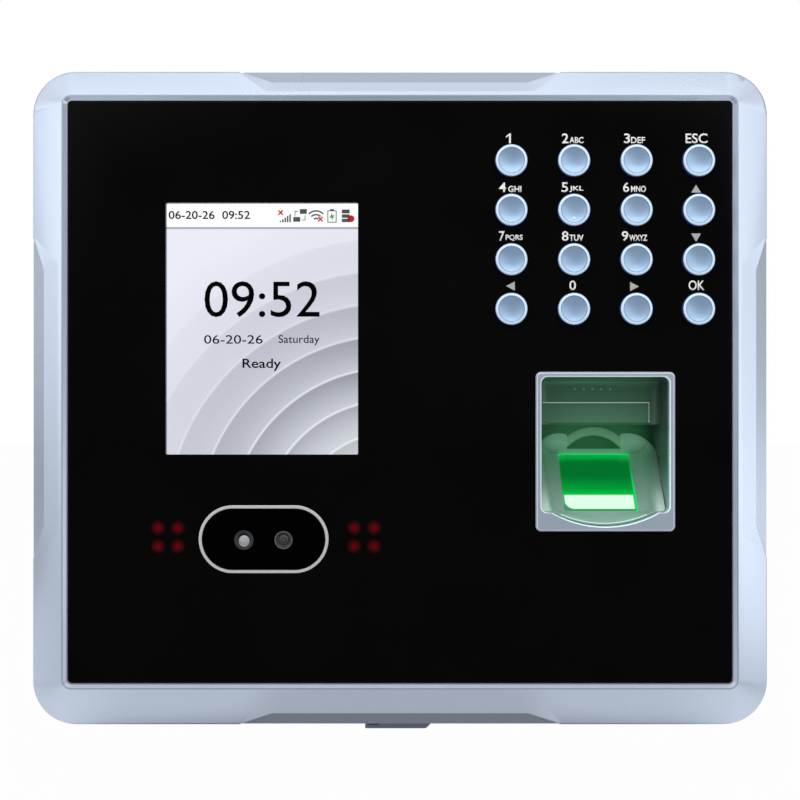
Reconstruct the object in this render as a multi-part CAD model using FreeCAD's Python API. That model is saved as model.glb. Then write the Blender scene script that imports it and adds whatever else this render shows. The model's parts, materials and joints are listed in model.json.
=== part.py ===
import FreeCAD
import Part
import math
import os

# Wall terminal that reads a finger and a face, built as separate pieces.
# X runs to the right, Y runs into the wall, Z runs up, all in millimetres.
# The origin is the middle of the wall plate's back, so the front faces -Y.

Vec = FreeCAD.Vector

# ---------------------------------------------------------------- case sizes
body_width = 168.0
body_height = 149.4
body_corner = 10.0
rim_y = -32.2              # the frontmost line, round the black panel
edge_y = -29.4             # where the sloping face meets the side wall
parting_y = -18.5          # front case and rear case meet here
back_y = -0.3              # rear case's back, just short of the wall
wall_thick = 2.2

# ------------------------------------------------------------- black panel
panel_width = 150.9
panel_height = 132.2
panel_z = 1.34             # the lower border is wider than the upper one
panel_corner = 0.9
panel_front = -31.2
panel_thick = 1.5
panel_back = panel_front + panel_thick
panel_gap = 0.1
chassis_front = -29.5
chassis_thick = 1.8
chassis_back = chassis_front + chassis_thick
chassis_width = 158.4
chassis_height = 140.2
chassis_corner = 27.8
fit_gap = 0.3              # between a moulded part and what it holds

# -------------------------------------------------------------- fasteners
small_shank, small_head, small_head_high = 0.75, 1.6, 1.0      # keypad, cameras and reader
board_shank, board_head, board_head_high = 0.9, 1.9, 1.2       # main board
case_shank, case_head, case_head_high = 1.2, 2.6, 1.8          # through the whole case
screw_clear = 0.2          # a through hole is this much wider than the shank
boss_wall = 1.4            # plastic round a pilot hole
stake_radius, stake_head, stake_high = 0.8, 1.4, 0.6           # the case's melted posts
case_screw_seat = -9.0
case_screw_length = 15.5

# ---------------------------------------------------------------- display
display_x = -31.4
display_z = 15.76
view_width = 43.7
view_height = 57.2
glass_width = 50.0
glass_height = 69.2
glass_drop = 2.0           # the glass reaches further down, for its ribbon
glass_z = display_z - glass_drop
glass_back = -28.2         # the tray starts here
tray_back = -26.0
tray_lip = 0.5             # the tray's rim round the glass
ribbon_width, ribbon_thick = 18.0, 0.2

# ---------------------------------------------------------------- keypad
key_columns = [25.24, 39.42, 53.57, 67.70]
key_rows = [53.82, 42.62, 31.40, 20.19]
key_names = [
    ["key_1", "key_2", "key_3", "key_escape"],
    ["key_4", "key_5", "key_6", "key_up"],
    ["key_7", "key_8", "key_9", "key_down"],
    ["key_left", "key_0", "key_right", "key_ok"],
]
key_radius = 3.70
key_dish_radius = 2.87
key_front = panel_front - 1.55
key_dish_depth = 0.42
key_flange_radius = 4.7
key_flange_thick = 0.8
key_stem_radius = 1.7
key_flange_front = chassis_back + 0.05
key_pip_drop = 1.95        # how far under the middle of key 5 its pip is
mat_front = -24.6
mat_thick = 1.0
dome_front = -26.2
keypad_board_back = -22.4
keypad_x = 46.5
keypad_z = 37.0
keypad_board_size = (52.0, 43.0)

# ---------------------------------------------------------------- cameras
camera_x = -31.0
camera_z = -32.1
camera_width = 29.6
camera_height = 15.5
ring_width = 0.87
lens_left_x = -35.5
lens_right_x = -26.5
lens_z = -32.3
lens_opening = (17.0, 9.0, 2.0)        # width, height and corner in the chassis
led_radius = 1.5
led_flange = 1.85
led_front, led_back = -29.42, -25.5
camera_bracket_front = -26.0
camera_board_front = -22.6
camera_deck = (31.0, 15.5)             # the bracket's plate and the board are this size
barrel_radius = 3.5
led_columns = [-55.0, -50.5, -10.4, -5.9]
led_rows = [-29.5, -33.7]

# ---------------------------------------------------------- finger reader
finger_x = 46.65
bezel_width = 31.6
bezel_height = 36.2
bezel_z = -12.18
bezel_front = -31.9
bezel_chamfer = 0.3
mouth_width = 29.1
mouth_top = 4.81
mouth_bottom = -26.02
mouth_corner = 1.5
scoop_chord = 24.2
scoop_depth = 3.2
well_back = -21.0                # the wall behind the finger's joint
well_draft = 0.3                 # how much the mouth narrows on its way there
well_soft = 2.4                  # rounding between the walls and the back
well_steps = 5                   # flat strips that make it
well_half = 14.2                 # half width of the deep part
deep_front = well_back - 6.8     # the deep part starts here
deep_low = -34.0
well_outer = 15.45               # half width of the box outside
well_wall = 1.4
well_rear = -7.6
well_flange = (40.0, 42.0, 2.0)
well_band = (-14.5, 11.9, -5.9, -0.95)          # left and right from the middle, low, high
pin_marks = (-5.55, 2.07, 2.1)                  # the first one's x from the middle, their pitch, their z
leg_width, leg_front, leg_low = 3.2, -13.8, -35.9
sensor_screw_x = 14.0
sensor_screw_y = -11.3
module_width, module_front, module_low = 24.0, -27.0, -40.0
module_top = -33.3
ear_thick = 1.5
overhang_z = -6.2                # the deep part starts under this
far_wall = -12.1                 # the wall in front of the fingertip
platen_width = 17.0
platen_thick = 4.9
platen_proud = 0.5               # the glass stands this far out of its frame
platen_low = (-26.3, -25.7)      # (y, z) of the glass's near, lower edge
platen_high = (-13.2, -13.2)     # (y, z) of its far, upper edge
trough_half = 9.0                # half width of the flat beside the glass
trough_foot = -26.1              # the trough's lead-in starts at this depth
cheek_half = 12.8                # half width where the cheeks end
cheek_rise = 3.5
cheek_low = (-29.4, -26.3)       # (y, z) of the cheeks' ridge at the sill
cheek_high = (-14.0, -8.6)       # (y, z) where it reaches the shoulders
shoulder_x = 8.3                 # middle of each shoulder, from the reader's
shoulder_radius = 6.2
lip_thick = 0.5                  # between the lead-in and the scoop in front of it
saddle_back = -8.7
saddle_low = -32.4
saddle_step = (-19.0, -20.0)     # z at its back and y at its foot, where its underside slants
seat_ledge = 1.2                 # the glass rests on this much all round
niche_half = 6.5                 # half width of the fingertip's niche
niche_rise = 3.1
niche_foot = -12.0

# ------------------------------------------------------------- electronics
board_front = -17.5
board_thick = 1.6
small_board_thick = 1.0
board_back = board_front + board_thick
board_left, board_right = -74.0, 24.0
board_low, board_high = -68.0, 58.0
board_screw_spots = [(-66, -56), (-66, 50), (16, 50), (16, -60)]
case_screw_x, case_screw_z = 73.5, 64.5
case_screw_spots = [(sx * case_screw_x, sz * case_screw_z) for sx in (-1, 1) for sz in (-1, 1)]
chip_spots = [                            # x0, x1, z0, z1 and height, the shield can first
    (-62, -34, -14, 14, 2.2),
    (-26, -14, -2, 10, 1.2),
    (-26, -14, -18, -6, 1.2),
    (-4, 10, 20, 34, 1.6),
    (4, 14, -30, -22, 3.2),
]
network_box = (-30.0, -14.0, -8.0, 11.0)  # x0, x1, z0, z1
clamp_x, clamp_pitch, clamp_height, clamp_back = -8.0, 5.08, 9.0, -6.2
clamp_rows = [(2.0, 6), (-16.0, 5)]       # each row's low edge and its number of clamps
usb_shell = (13.2, 5.8, -70.9, -57.0)     # width, depth, low and high end
switch_back = -9.0

# --------------------------------------------------------------- rear case
rear_outer = [(166.8, 148.2, 9.4), (161.5, 143.0, 8.0)]     # width, height, corner: front and back
rear_hollow = [(160.4, 142.3, 6.4), (157.5, 139.4, 6.0)]
rear_lip = (163.3, 144.7, 7.6)            # slips into the front case
recess_floor = -4.2
recess_width = 124.0
recess_height = 108.0
rear_inner = -6.2
bay = (-32.0, 24.0, -30.0, 14.0)          # connector bay: x0, x1, z0, z1
bay_wall = 1.5
rib_thick, rib_height = 1.2, 2.4
rear_ribs = [                             # x, low and high end
    (-68.0, -44.0, 44.0), (-40.0, -26.0, 36.0), (27.0, -60.0, 4.0), (67.0, -52.0, 4.0),
]

# --------------------------------------------------------------- wall plate
plate_thick = 1.2
plate_width = 120.0
plate_height = 104.0
wall_screw_dx = 80.0
wall_screw_dz = 60.0
wall_screw_radius = 2.25
hook_spots = [(-50, 44), (50, 44), (-50, -44), (50, -44)]
hook_width, hook_height, hook_window = 8.0, 6.5, 9.0
hook_reach = 7.7                          # how far the hooks stand out from the wall

# ------------------------------------------------------- lower side pieces
usb_x = 2.0
usb_y = -13.0
usb_mouth = (13.6, 6.2)
hinge_x = -6.9
hinge_z = -75.9
hinge_radius = 1.7
cover_bottom = -78.7
cover_top = -74.35
cover_front, cover_back = -17.0, -9.0
ear_width = 1.2
neck_reach = 1.3                          # from the pin to the side of the ears where the lip swings by
pin_radius = 0.6
lock_x = -30.0
lock_y = -8.5
lock_screw_radius, lock_head_radius, lock_head_top = 1.5, 2.7, -70.45
lock_bay = (-37.5, -22.5, -56.0, -48.0)   # x0, x1, z0, z1
lock_bay_front = -12.8
tamper_x, tamper_z = -50.0, 0.0
tamper_radius = 1.5
tamper_collar = 2.1
tamper_travel = 1.5
speaker_x, speaker_y = 50.0, -10.0


# ================================================================= helpers
def block(x0, x1, y0, y1, z0, z1):
    """A box between two corners."""
    return Part.makeBox(x1 - x0, y1 - y0, z1 - z0, Vec(x0, y0, z0))


def rounded_wire(width, height, radius, y, cx=0.0, cz=0.0):
    """A rounded rectangle in the plane of one Y, starting at its lower left."""
    w, h, r = width / 2, height / 2, radius
    turn = r * (1 - math.sqrt(0.5))
    pts = {
        "bl": (Vec(cx - w + r, y, cz - h), Vec(cx - w + turn, y, cz - h + turn), Vec(cx - w, y, cz - h + r)),
        "tl": (Vec(cx - w, y, cz + h - r), Vec(cx - w + turn, y, cz + h - turn), Vec(cx - w + r, y, cz + h)),
        "tr": (Vec(cx + w - r, y, cz + h), Vec(cx + w - turn, y, cz + h - turn), Vec(cx + w, y, cz + h - r)),
        "br": (Vec(cx + w, y, cz - h + r), Vec(cx + w - turn, y, cz - h + turn), Vec(cx + w - r, y, cz - h)),
    }
    edges = []
    order = ["bl", "tl", "tr", "br"]
    for i, name in enumerate(order):
        a, m, b = pts[name]
        edges.append(Part.Arc(a, m, b).toShape())
        following = pts[order[(i + 1) % 4]][0]
        if (following - b).Length > 1e-6:
            edges.append(Part.LineSegment(b, following).toShape())
    return Part.Wire(edges)


def along_y(wire, y_end):
    """Fills a wire that lies in one Y plane and pulls it to another."""
    face = Part.Face(wire)
    return face.extrude(Vec(0, y_end - wire.Vertexes[0].Y, 0))


def slab(width, height, radius, y_front, y_back, cx=0.0, cz=0.0):
    """A rounded plate that faces along Y."""
    return along_y(rounded_wire(width, height, radius, y_front, cx, cz), y_back)


def disc(cx, cz, radius, y_front, y_back):
    """A round bar along Y."""
    return Part.makeCylinder(radius, y_back - y_front, Vec(cx, y_front, cz), Vec(0, 1, 0))


def upright(cx, cy, radius, z_low, z_high):
    """A round bar along Z."""
    return Part.makeCylinder(radius, z_high - z_low, Vec(cx, cy, z_low), Vec(0, 0, 1))


def stadium(width, height, y_front, y_back, cx, cz):
    """A plate with round ends, along X."""
    return slab(width, height, height / 2 - 0.0005, y_front, y_back, cx, cz)


def taper(wire_a, wire_b):
    """A solid with straight sides between two wires of the same make."""
    return Part.makeLoft([wire_a, wire_b], True, True)


def turned(profile, cx, cz):
    """Turns a list of (radius, y) points round an axis along Y."""
    pts = [Vec(cx + r, y, cz) for r, y in profile]
    wire = Part.makePolygon(pts + [pts[0]])
    return Part.Face(wire).revolve(Vec(cx, 0, cz), Vec(0, 1, 0), 360)


def side_prism(outline, x0, x1):
    """Pulls a list of (y, z) points along X."""
    pts = [Vec(x0, y, z) for y, z in outline]
    face = Part.Face(Part.makePolygon(pts + [pts[0]]))
    return face.extrude(Vec(x1 - x0, 0, 0))


def front_prism(outline, y0, y1):
    """Pulls a list of (x, z) points along Y."""
    pts = [Vec(x, y0, z) for x, z in outline]
    face = Part.Face(Part.makePolygon(pts + [pts[0]]))
    return face.extrude(Vec(0, y1 - y0, 0))


def join(shapes):
    """One solid from several that touch."""
    whole = shapes[0]
    if len(shapes) > 1:
        whole = whole.fuse(shapes[1:])
    return whole.removeSplitter()


def edges_at_y(shape, y, keep=lambda edge: True):
    """The edges whose two ends lie in one Y plane."""
    return [e for e in shape.Edges if all(abs(v.Y - y) < 1e-4 for v in e.Vertexes) and keep(e)]


# ============================================================== front case
relief_width = 2.8         # how much of the border each steep facet takes
relief_inner = 29.2        # half length of the facet's inner line
relief_outer = 36.2        # half length of its outer line
relief_start = 0.9         # the lowered face begins this far from the rim
relief_drop = 0.18         # how far it lies under the main slope there
relief_walls = (3.6, 3.9)  # depth under the rim where a facet meets the left or right, the top or bottom


def beyond(a, b, c, toward):
    """The space on one side of the plane through three points."""
    normal = (b - a).cross(c - a)
    if normal.dot(toward) < 0:
        normal = normal * -1
    normal.normalize()
    return Part.makeCylinder(160, 60, (a + b + c) * (1 / 3), normal)


def side_relief(border, relief_wall):
    """What is cut from the middle of one side, as (u along, v outward, depth).

    Three planes make a shallow trough between the rim and the facet, and a
    steep facet with slanting ends takes the outer edge off."""
    slope = (rim_y - edge_y) / -border
    v_facet = border - relief_width
    d_facet = v_facet * slope + relief_drop
    up = Vec(0, 0, -1)
    inner = Vec(relief_inner, v_facet, d_facet)
    start = Vec(relief_inner + 1.3, relief_start, relief_start * slope)
    corner = Vec(relief_outer + 1.0, border, border * slope)
    foot = Vec(relief_outer, border, relief_wall)

    def mirrored(p):
        return Vec(-p.x, p.y, p.z)

    trough = beyond(inner, mirrored(inner), start, up)
    for flip in (lambda p: p, mirrored):
        trough = trough.common(beyond(flip(inner), flip(start), flip(corner), up))
    facet = beyond(inner, mirrored(inner), foot, Vec(0, 1, -1))
    facet = facet.common(beyond(inner, foot, corner, Vec(-1, 0, 0)))
    facet = facet.common(beyond(mirrored(inner), mirrored(foot), mirrored(corner), Vec(1, 0, 0)))
    return trough, facet


def placed_relief(shape, u_axis, v_axis, origin):
    """Carries a relief from (u, v, depth) to the case."""
    m = FreeCAD.Matrix(
        u_axis.x, v_axis.x, 0, origin.x,
        0, 0, 1, origin.y,
        u_axis.z, v_axis.z, 0, origin.z,
        0, 0, 0, 1,
    )
    return shape.transformGeometry(m) if m.determinant() < 0 else shape.transformed(m)


def rim_size(grow):
    """Width, height and corner of the panel's outline, grown on each side."""
    return panel_width + 2 * grow, panel_height + 2 * grow, panel_corner + grow


def front_housing():
    """Silver outer frame: side walls, a sloping face and its four reliefs."""
    land = rim_size(1.25)
    crown = taper(
        rounded_wire(body_width, body_height, body_corner, edge_y),
        rounded_wire(land[0], land[1], land[2], rim_y, 0, panel_z),
    )
    wall = slab(body_width, body_height, body_corner, edge_y, parting_y)
    body = join([crown, wall])
    body = body.makeFillet(0.7, edges_at_y(body, edge_y))

    half_w, half_h = body_width / 2, body_height / 2
    rim_w, rim_h = land[0] / 2, land[1] / 2
    side_wall, end_wall = relief_walls
    sides = [
        (half_w - rim_w, side_wall, Vec(0, 0, 1), Vec(1, 0, 0), Vec(rim_w, rim_y, 0)),
        (half_w - rim_w, side_wall, Vec(0, 0, 1), Vec(-1, 0, 0), Vec(-rim_w, rim_y, 0)),
        (half_h - rim_h - panel_z, end_wall, Vec(1, 0, 0), Vec(0, 0, 1), Vec(0, rim_y, rim_h + panel_z)),
        (half_h - rim_h + panel_z, end_wall, Vec(1, 0, 0), Vec(0, 0, -1), Vec(0, rim_y, panel_z - rim_h)),
    ]
    for border, wall_depth, u_axis, v_axis, origin in sides:
        for cutter in side_relief(border, wall_depth):
            body = body.cut(placed_relief(cutter, u_axis, v_axis, origin))

    # the panel's opening: a bevel, a narrow ledge, then a straight wall
    outer, inner = rim_size(1.65), rim_size(0.35)
    body = body.cut(taper(
        rounded_wire(*outer, rim_y - 0.7, 0, panel_z),
        rounded_wire(*inner, rim_y + 0.7, 0, panel_z),
    ))
    pocket = rim_size(panel_gap)
    body = body.cut(slab(*pocket, rim_y, chassis_front, 0, panel_z))

    # hollow inside: a shelf for the chassis, then the deep part behind it
    body = body.cut(slab(chassis_width + 0.3, chassis_height + 0.3, chassis_corner, chassis_front, -24.5))
    body = body.cut(slab(body_width - 2 * wall_thick, body_height - 2 * wall_thick,
                         body_corner - wall_thick, -24.5, parting_y))
    for x, z in case_screw_spots:
        body = body.fuse(disc(x, z, case_shank + 2.4, -24.7, parting_y - 0.1))
        body = body.cut(disc(x, z, case_shank, -28.0, parting_y))
    for x, z in chassis_stakes():
        post = disc(x, z, stake_radius, chassis_front - 0.3, chassis_back + 0.1)
        head = disc(x, z, stake_head, chassis_back + 0.02, chassis_back + stake_high)
        body = body.fuse([post, head])
    return body.removeSplitter()


def chassis_stakes():
    """Where the case's posts pass through the chassis."""
    spots = [(sx * 77.3, z) for sx in (-1, 1) for z in (-36, 0, 36)]
    return spots + [(x, sz * 68.4) for sz in (-1, 1) for x in (-40, 0, 40)]


def chassis():
    """Inner deck that carries the panel, display, keys, cameras and reader."""
    plate = slab(chassis_width, chassis_height, chassis_corner, chassis_front, chassis_back)
    ahead, behind = chassis_front - 1, chassis_back + 1
    around_glass = (glass_width + 2 * fit_gap, glass_height + 2 * fit_gap, 2 * fit_gap)
    plate = plate.cut(slab(*around_glass, ahead, behind, display_x, glass_z))
    plate = plate.cut(slab(*lens_opening, ahead, behind, camera_x, lens_z))
    plate = plate.cut(slab(bezel_width - 0.2, bezel_height - 0.2, 1.4, ahead, behind, finger_x, bezel_z))
    holes = [disc(x, z, key_radius + 0.25, ahead, behind) for x in key_columns for z in key_rows]
    holes += [disc(x, z, led_radius + 0.15, ahead, behind) for x in led_columns for z in led_rows]
    holes += [disc(x, z, stake_radius + 0.05, ahead, behind) for x, z in chassis_stakes()]
    plate = plate.cut(holes)
    # posts for the keypad board and the camera bracket, with pilot holes that stop short of the front
    post_radius, skin = small_shank + boss_wall, 0.6
    posts = [disc(x, z, post_radius, chassis_back - 0.1, mat_front + mat_thick) for x, z in keypad_posts()]
    posts += [disc(x, z, post_radius, chassis_back - 0.1, camera_bracket_front) for x, z in camera_posts()]
    plate = plate.fuse(posts)
    spots = keypad_posts() + camera_posts() + well_screw_spots()
    plate = plate.cut([disc(x, z, small_shank, chassis_front + skin, mat_front + 2) for x, z in spots])
    # low walls that centre the display
    wall = slab(glass_width + 3.0, glass_height + 3.0, 1.2, chassis_back - 0.1, tray_back - 0.4,
                display_x, glass_z)
    return plate.fuse(wall.cut(slab(*around_glass, ahead, tray_back, display_x, glass_z))).removeSplitter()


def keypad_posts():
    """Screw posts, each in the middle of four keys."""
    gaps = [(0, 0), (2, 0), (0, 2), (2, 2)]
    return [((key_columns[i] + key_columns[i + 1]) / 2, (key_rows[j] + key_rows[j + 1]) / 2) for i, j in gaps]


# ============================================================= front panel
def front_panel():
    """Gloss black face with its openings."""
    plate = slab(panel_width, panel_height, panel_corner, panel_front, panel_back, 0, panel_z)
    plate = plate.makeFillet(0.25, edges_at_y(plate, panel_front))
    plate = plate.cut(slab(view_width, view_height, 0.3, -32, -29, display_x, display_z))
    plate = plate.cut(stadium(camera_width, camera_height, -32, -29, camera_x, camera_z))
    plate = plate.cut(slab(bezel_width + 0.2, bezel_height + 0.2, 1.3, -32, -29, finger_x, bezel_z))
    plate = plate.cut([disc(x, z, key_radius + 0.2, -32, -29) for x in key_columns for z in key_rows])
    return plate


def panel_tape():
    """Adhesive sheet between the panel and the chassis, cut clear of everything."""
    sheet = slab(panel_width - 3, panel_height - 3, 1.0, panel_back, chassis_front, 0, panel_z)
    sheet = sheet.cut(slab(view_width + 3, view_height + 3, 1, -30, -29, display_x, display_z))
    sheet = sheet.cut(slab(59, 19, 4, -30, -29, camera_x + 0.5, camera_z))
    sheet = sheet.cut(slab(bezel_width + 2, bezel_height + 2, 2, -30, -29, finger_x, bezel_z))
    return sheet.cut([disc(x, z, key_radius + 1.0, -30, -29) for x in key_columns for z in key_rows])


def display_window():
    """Clear pane, flush in the panel."""
    return slab(view_width - 0.06, view_height - 0.06, 0.3, panel_front + 0.05, panel_back,
                display_x, display_z)


def camera_window():
    """Dark pane with two clear holes for the lenses."""
    pane = stadium(camera_width - 2 * ring_width - 0.02, camera_height - 2 * ring_width - 0.02,
                   panel_front, panel_back, camera_x, camera_z)
    pane = pane.cut(disc(lens_left_x, lens_z, 2.3, -32, -29))
    return pane.cut(disc(lens_right_x, lens_z, 2.15, -32, -29))


def camera_ring():
    """Bright ring let into the panel round the dark pane."""
    front = panel_front - 0.12
    ring = stadium(camera_width - 0.02, camera_height - 0.02, front, panel_back, camera_x, camera_z)
    ring = ring.cut(stadium(camera_width - 2 * ring_width, camera_height - 2 * ring_width,
                            front - 1, panel_back + 1, camera_x, camera_z))
    return ring.makeChamfer(0.1, edges_at_y(ring, front))


# ================================================================== keypad
def key(cx, cz, pip):
    """Round key with a bevelled rim, a dished face, a flange, a stem and maybe a pip to feel for."""
    steps = 6
    dish = []
    for i in range(steps + 1):
        r = key_dish_radius * i / steps
        dish.append((r, key_front + key_dish_depth * (1 - (r / key_dish_radius) ** 2)))
    stem_end = dome_front - 0.02
    rim = [
        (key_dish_radius + 0.10, key_front - 0.02),
        (key_dish_radius + 0.22, key_front),
        (key_radius - 0.28, key_front + 0.16),
        (key_radius - 0.10, key_front + 0.36),
        (key_radius, key_front + 0.70),
        (key_radius, key_flange_front),
        (key_flange_radius, key_flange_front),
        (key_flange_radius, key_flange_front + key_flange_thick),
        (key_stem_radius, key_flange_front + key_flange_thick),
        (key_stem_radius, stem_end),
        (0.0, stem_end),
    ]
    cap = turned(dish + rim, cx, cz)
    if pip:
        cap = cap.fuse(disc(cx, cz - key_pip_drop, 0.3, key_front + 0.1, key_front + 0.5)).removeSplitter()
    return cap


def keypad_mat():
    """Silicone sheet with a hollow dome under each key."""
    width, height = keypad_board_size
    sheet = slab(width - 1, height - 1, 2.0, mat_front, mat_front + mat_thick, keypad_x, keypad_z)
    spots = [(x, z) for x in key_columns for z in key_rows]
    # the sloping skirt buckles under the stem, and the thick top carries the contact
    skirt, crown = 3.7, key_stem_radius + 0.2
    dome = [(0, dome_front), (crown, dome_front), (crown + 0.1, dome_front + 0.5), (skirt, mat_front),
            (skirt, mat_front + 0.2), (0, mat_front + 0.2)]
    hollow = [(0, dome_front + 1.2), (crown - 0.4, dome_front + 1.2), (skirt - 0.6, mat_front + 0.3),
              (skirt - 0.6, mat_front + mat_thick + 0.1), (0, mat_front + mat_thick + 0.1)]
    posts = [disc(x, z, small_shank + boss_wall + 0.3, mat_front - 1, mat_front + mat_thick + 1)
             for x, z in keypad_posts()]
    sheet = sheet.fuse([turned(dome, x, z) for x, z in spots])
    return sheet.cut([turned(hollow, x, z) for x, z in spots] + posts)


def keypad_board():
    """Contact board behind the mat, with its gold pads left flush."""
    front = mat_front + mat_thick
    width, height = keypad_board_size
    board = slab(width, height, 1.5, front, keypad_board_back, keypad_x, keypad_z)
    board = board.cut([disc(x, z, small_shank + screw_clear, front - 1, keypad_board_back + 1)
                       for x, z in keypad_posts()])
    plug = block(keypad_x - 25, keypad_x - 21, keypad_board_back, keypad_board_back + 2.4, 28, 42)
    return board.fuse(plug).removeSplitter()


def pan_screw(cx, cz, y_seat, length, radius, head_radius, head_height, toward=1):
    """A pan-head screw along Y. Its head sits at y_seat, on the +Y side if toward is 1."""
    head_axis = Vec(0, toward, 0)
    seat = Vec(cx, y_seat, cz)
    head = Part.makeCylinder(head_radius, head_height, seat, head_axis)
    slot_start = seat + head_axis * (head_height - 0.5)
    slot = Part.makeCylinder(head_radius * 0.5, 1, slot_start, head_axis)
    shank = Part.makeCylinder(radius, length, seat, head_axis * -1)
    return head.cut(slot).fuse(shank).removeSplitter()


# ================================================================= cameras
def camera_posts():
    """Screw posts at the corners of the cameras' bracket."""
    return [(camera_x + sx * 12.9, lens_z + sz * 5.0) for sx in (-1, 1) for sz in (-1, 1)]


def camera_bracket():
    """Moulded holder that lines the two barrels up with the dark pane."""
    plate_back = camera_bracket_front + 1.4
    plate = slab(*camera_deck, 2.0, camera_bracket_front, plate_back, camera_x, lens_z)
    cup = slab(19.0, 11.0, 1.5, plate_back - 0.2, camera_board_front, camera_x, lens_z)
    ahead, behind = camera_bracket_front - 1, camera_board_front + 1
    bores = [disc(x, lens_z, barrel_radius + 0.05, ahead, behind) for x in (lens_left_x, lens_right_x)]
    bores += [disc(x, z, small_shank + screw_clear, ahead, behind) for x, z in camera_posts()]
    return plate.fuse(cup).cut(bores).removeSplitter()


def camera_barrels():
    """Two lens barrels: a wide base and a slim nose with a coned front."""
    barrels = []
    for x, nose in ((lens_left_x, 2.22), (lens_right_x, 2.07)):
        barrels.append(turned([
            (0, camera_board_front), (barrel_radius, camera_board_front), (barrel_radius, -27.2),
            (nose, -28.0), (nose, panel_front + 0.15), (nose - 0.35, panel_front + 0.15),
            (1.25, panel_front + 0.75), (0, panel_front + 0.75)], x, lens_z))
    return Part.makeCompound(barrels)


def camera_glasses():
    """Front lens of each barrel, seated in the cone."""
    return Part.makeCompound([
        turned([(0, panel_front + 0.35), (0.5, panel_front + 0.38), (0.9, panel_front + 0.49),
                (1.18, panel_front + 0.65), (1.18, panel_front + 0.74), (0, panel_front + 0.74)], x, lens_z)
        for x in (lens_left_x, lens_right_x)])


def camera_board():
    """Board that both cameras sit on, with its chip and plug at the back."""
    back = camera_board_front + small_board_thick
    board = slab(*camera_deck, 1.5, camera_board_front, back, camera_x, lens_z)
    board = board.cut([disc(x, z, small_shank + screw_clear, camera_board_front - 1, back + 1)
                       for x, z in camera_posts()])
    chip = block(camera_x - 5, camera_x + 3, back, back + 1.0, lens_z - 4, lens_z + 4)
    plug = block(camera_x + 6, camera_x + 10, back, back + 1.5, lens_z - 5, lens_z + 5)
    return board.fuse([chip, plug]).removeSplitter()


def infrared_leds():
    """Eight round-nosed lamps, four each side of the cameras."""
    lamps = []
    for x in led_columns:
        for z in led_rows:
            lamps.append(turned([
                (0, led_front), (0.55, led_front + 0.06), (1.05, led_front + 0.32), (1.38, led_front + 0.77),
                (led_radius, led_front + 1.32), (led_radius, led_back - 0.8), (led_flange, led_back - 0.8),
                (led_flange, led_back), (0, led_back)], x, z))
    return Part.makeCompound(lamps)


def infrared_boards():
    """The lamps' two small boards, each on a pair of pegs."""
    boards = []
    for pair in (led_columns[:2], led_columns[2:]):
        cx = sum(pair) / 2
        cz = sum(led_rows) / 2
        board = slab(11.0, 11.0, 1.0, led_back, led_back + small_board_thick, cx, cz)
        pegs = [disc(cx + sx * 4.4, cz + sz * 4.4, 0.6, chassis_back + 0.02, led_back + 0.1)
                for sx, sz in ((-1, 1), (1, -1))]
        boards.append(board.fuse(pegs).removeSplitter())
    return Part.makeCompound(boards)


# ================================================================= display
def display_glass():
    """Front glass of the display, with its lit area on the view."""
    return slab(glass_width - 2 * tray_lip, glass_height - 3.0, 0.3, chassis_front + 0.1, glass_back,
                display_x, glass_z + 0.6)


def display_backlight():
    """Backlight tray that the glass lies in."""
    tray = slab(glass_width, glass_height, 0.5, glass_back, tray_back, display_x, glass_z)
    lip = slab(glass_width, glass_height, 0.5, chassis_front + 0.9, glass_back, display_x, glass_z)
    lip = lip.cut(slab(glass_width - 2 * tray_lip + 0.1, glass_height - 2.9, 0.3,
                       chassis_front, glass_back + 0.1, display_x, glass_z + 0.6))
    return tray.fuse(lip).removeSplitter()


def display_ribbon():
    """Flat ribbon from the display's lower edge, folded back to the main board."""
    low = glass_z - glass_height / 2
    t = ribbon_thick
    # it leaves the tray's back, bends down and lies on the board's front
    outline = [
        (tray_back, low + 9.0), (tray_back + t, low + 9.0), (tray_back + t, low + 3.2),
        (board_front - 0.4, low - 4.6), (board_front - 0.4, low - 9.0), (board_front - 0.1, low - 9.0),
        (board_front - 0.1, low - 4.5), (tray_back + 2 * t, low + 3.3), (tray_back + 2 * t, low + 9.2),
        (tray_back, low + 9.2),
    ]
    return side_prism(outline, display_x - ribbon_width / 2, display_x + ribbon_width / 2)


# ========================================================== finger reader
slope_y = platen_high[0] - platen_low[0]
slope_z = platen_high[1] - platen_low[1]
slope_length = math.hypot(slope_y, slope_z)
along = Vec(0, slope_y / slope_length, slope_z / slope_length)
outward = Vec(0, -along.z, along.y)
platen_foot = Vec(finger_x, platen_low[0], platen_low[1])


def on_slope(x, s, n):
    """A point by its place across, up and off the platen's slope."""
    return platen_foot + Vec(x, 0, 0) + along * s + outward * n


def slope_profile(points, s_from, s_to):
    """Pulls a closed (x, n) outline up the slope."""
    wire = Part.makePolygon([on_slope(x, s_from, n) for x, n in points + [points[0]]])
    return Part.Face(wire).extrude(along * (s_to - s_from))


def slope_tool(s_from, s_to, width, n_low, n_high):
    half = width / 2
    return slope_profile([(-half, n_low), (half, n_low), (half, n_high), (-half, n_high)], s_from, s_to)


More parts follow.
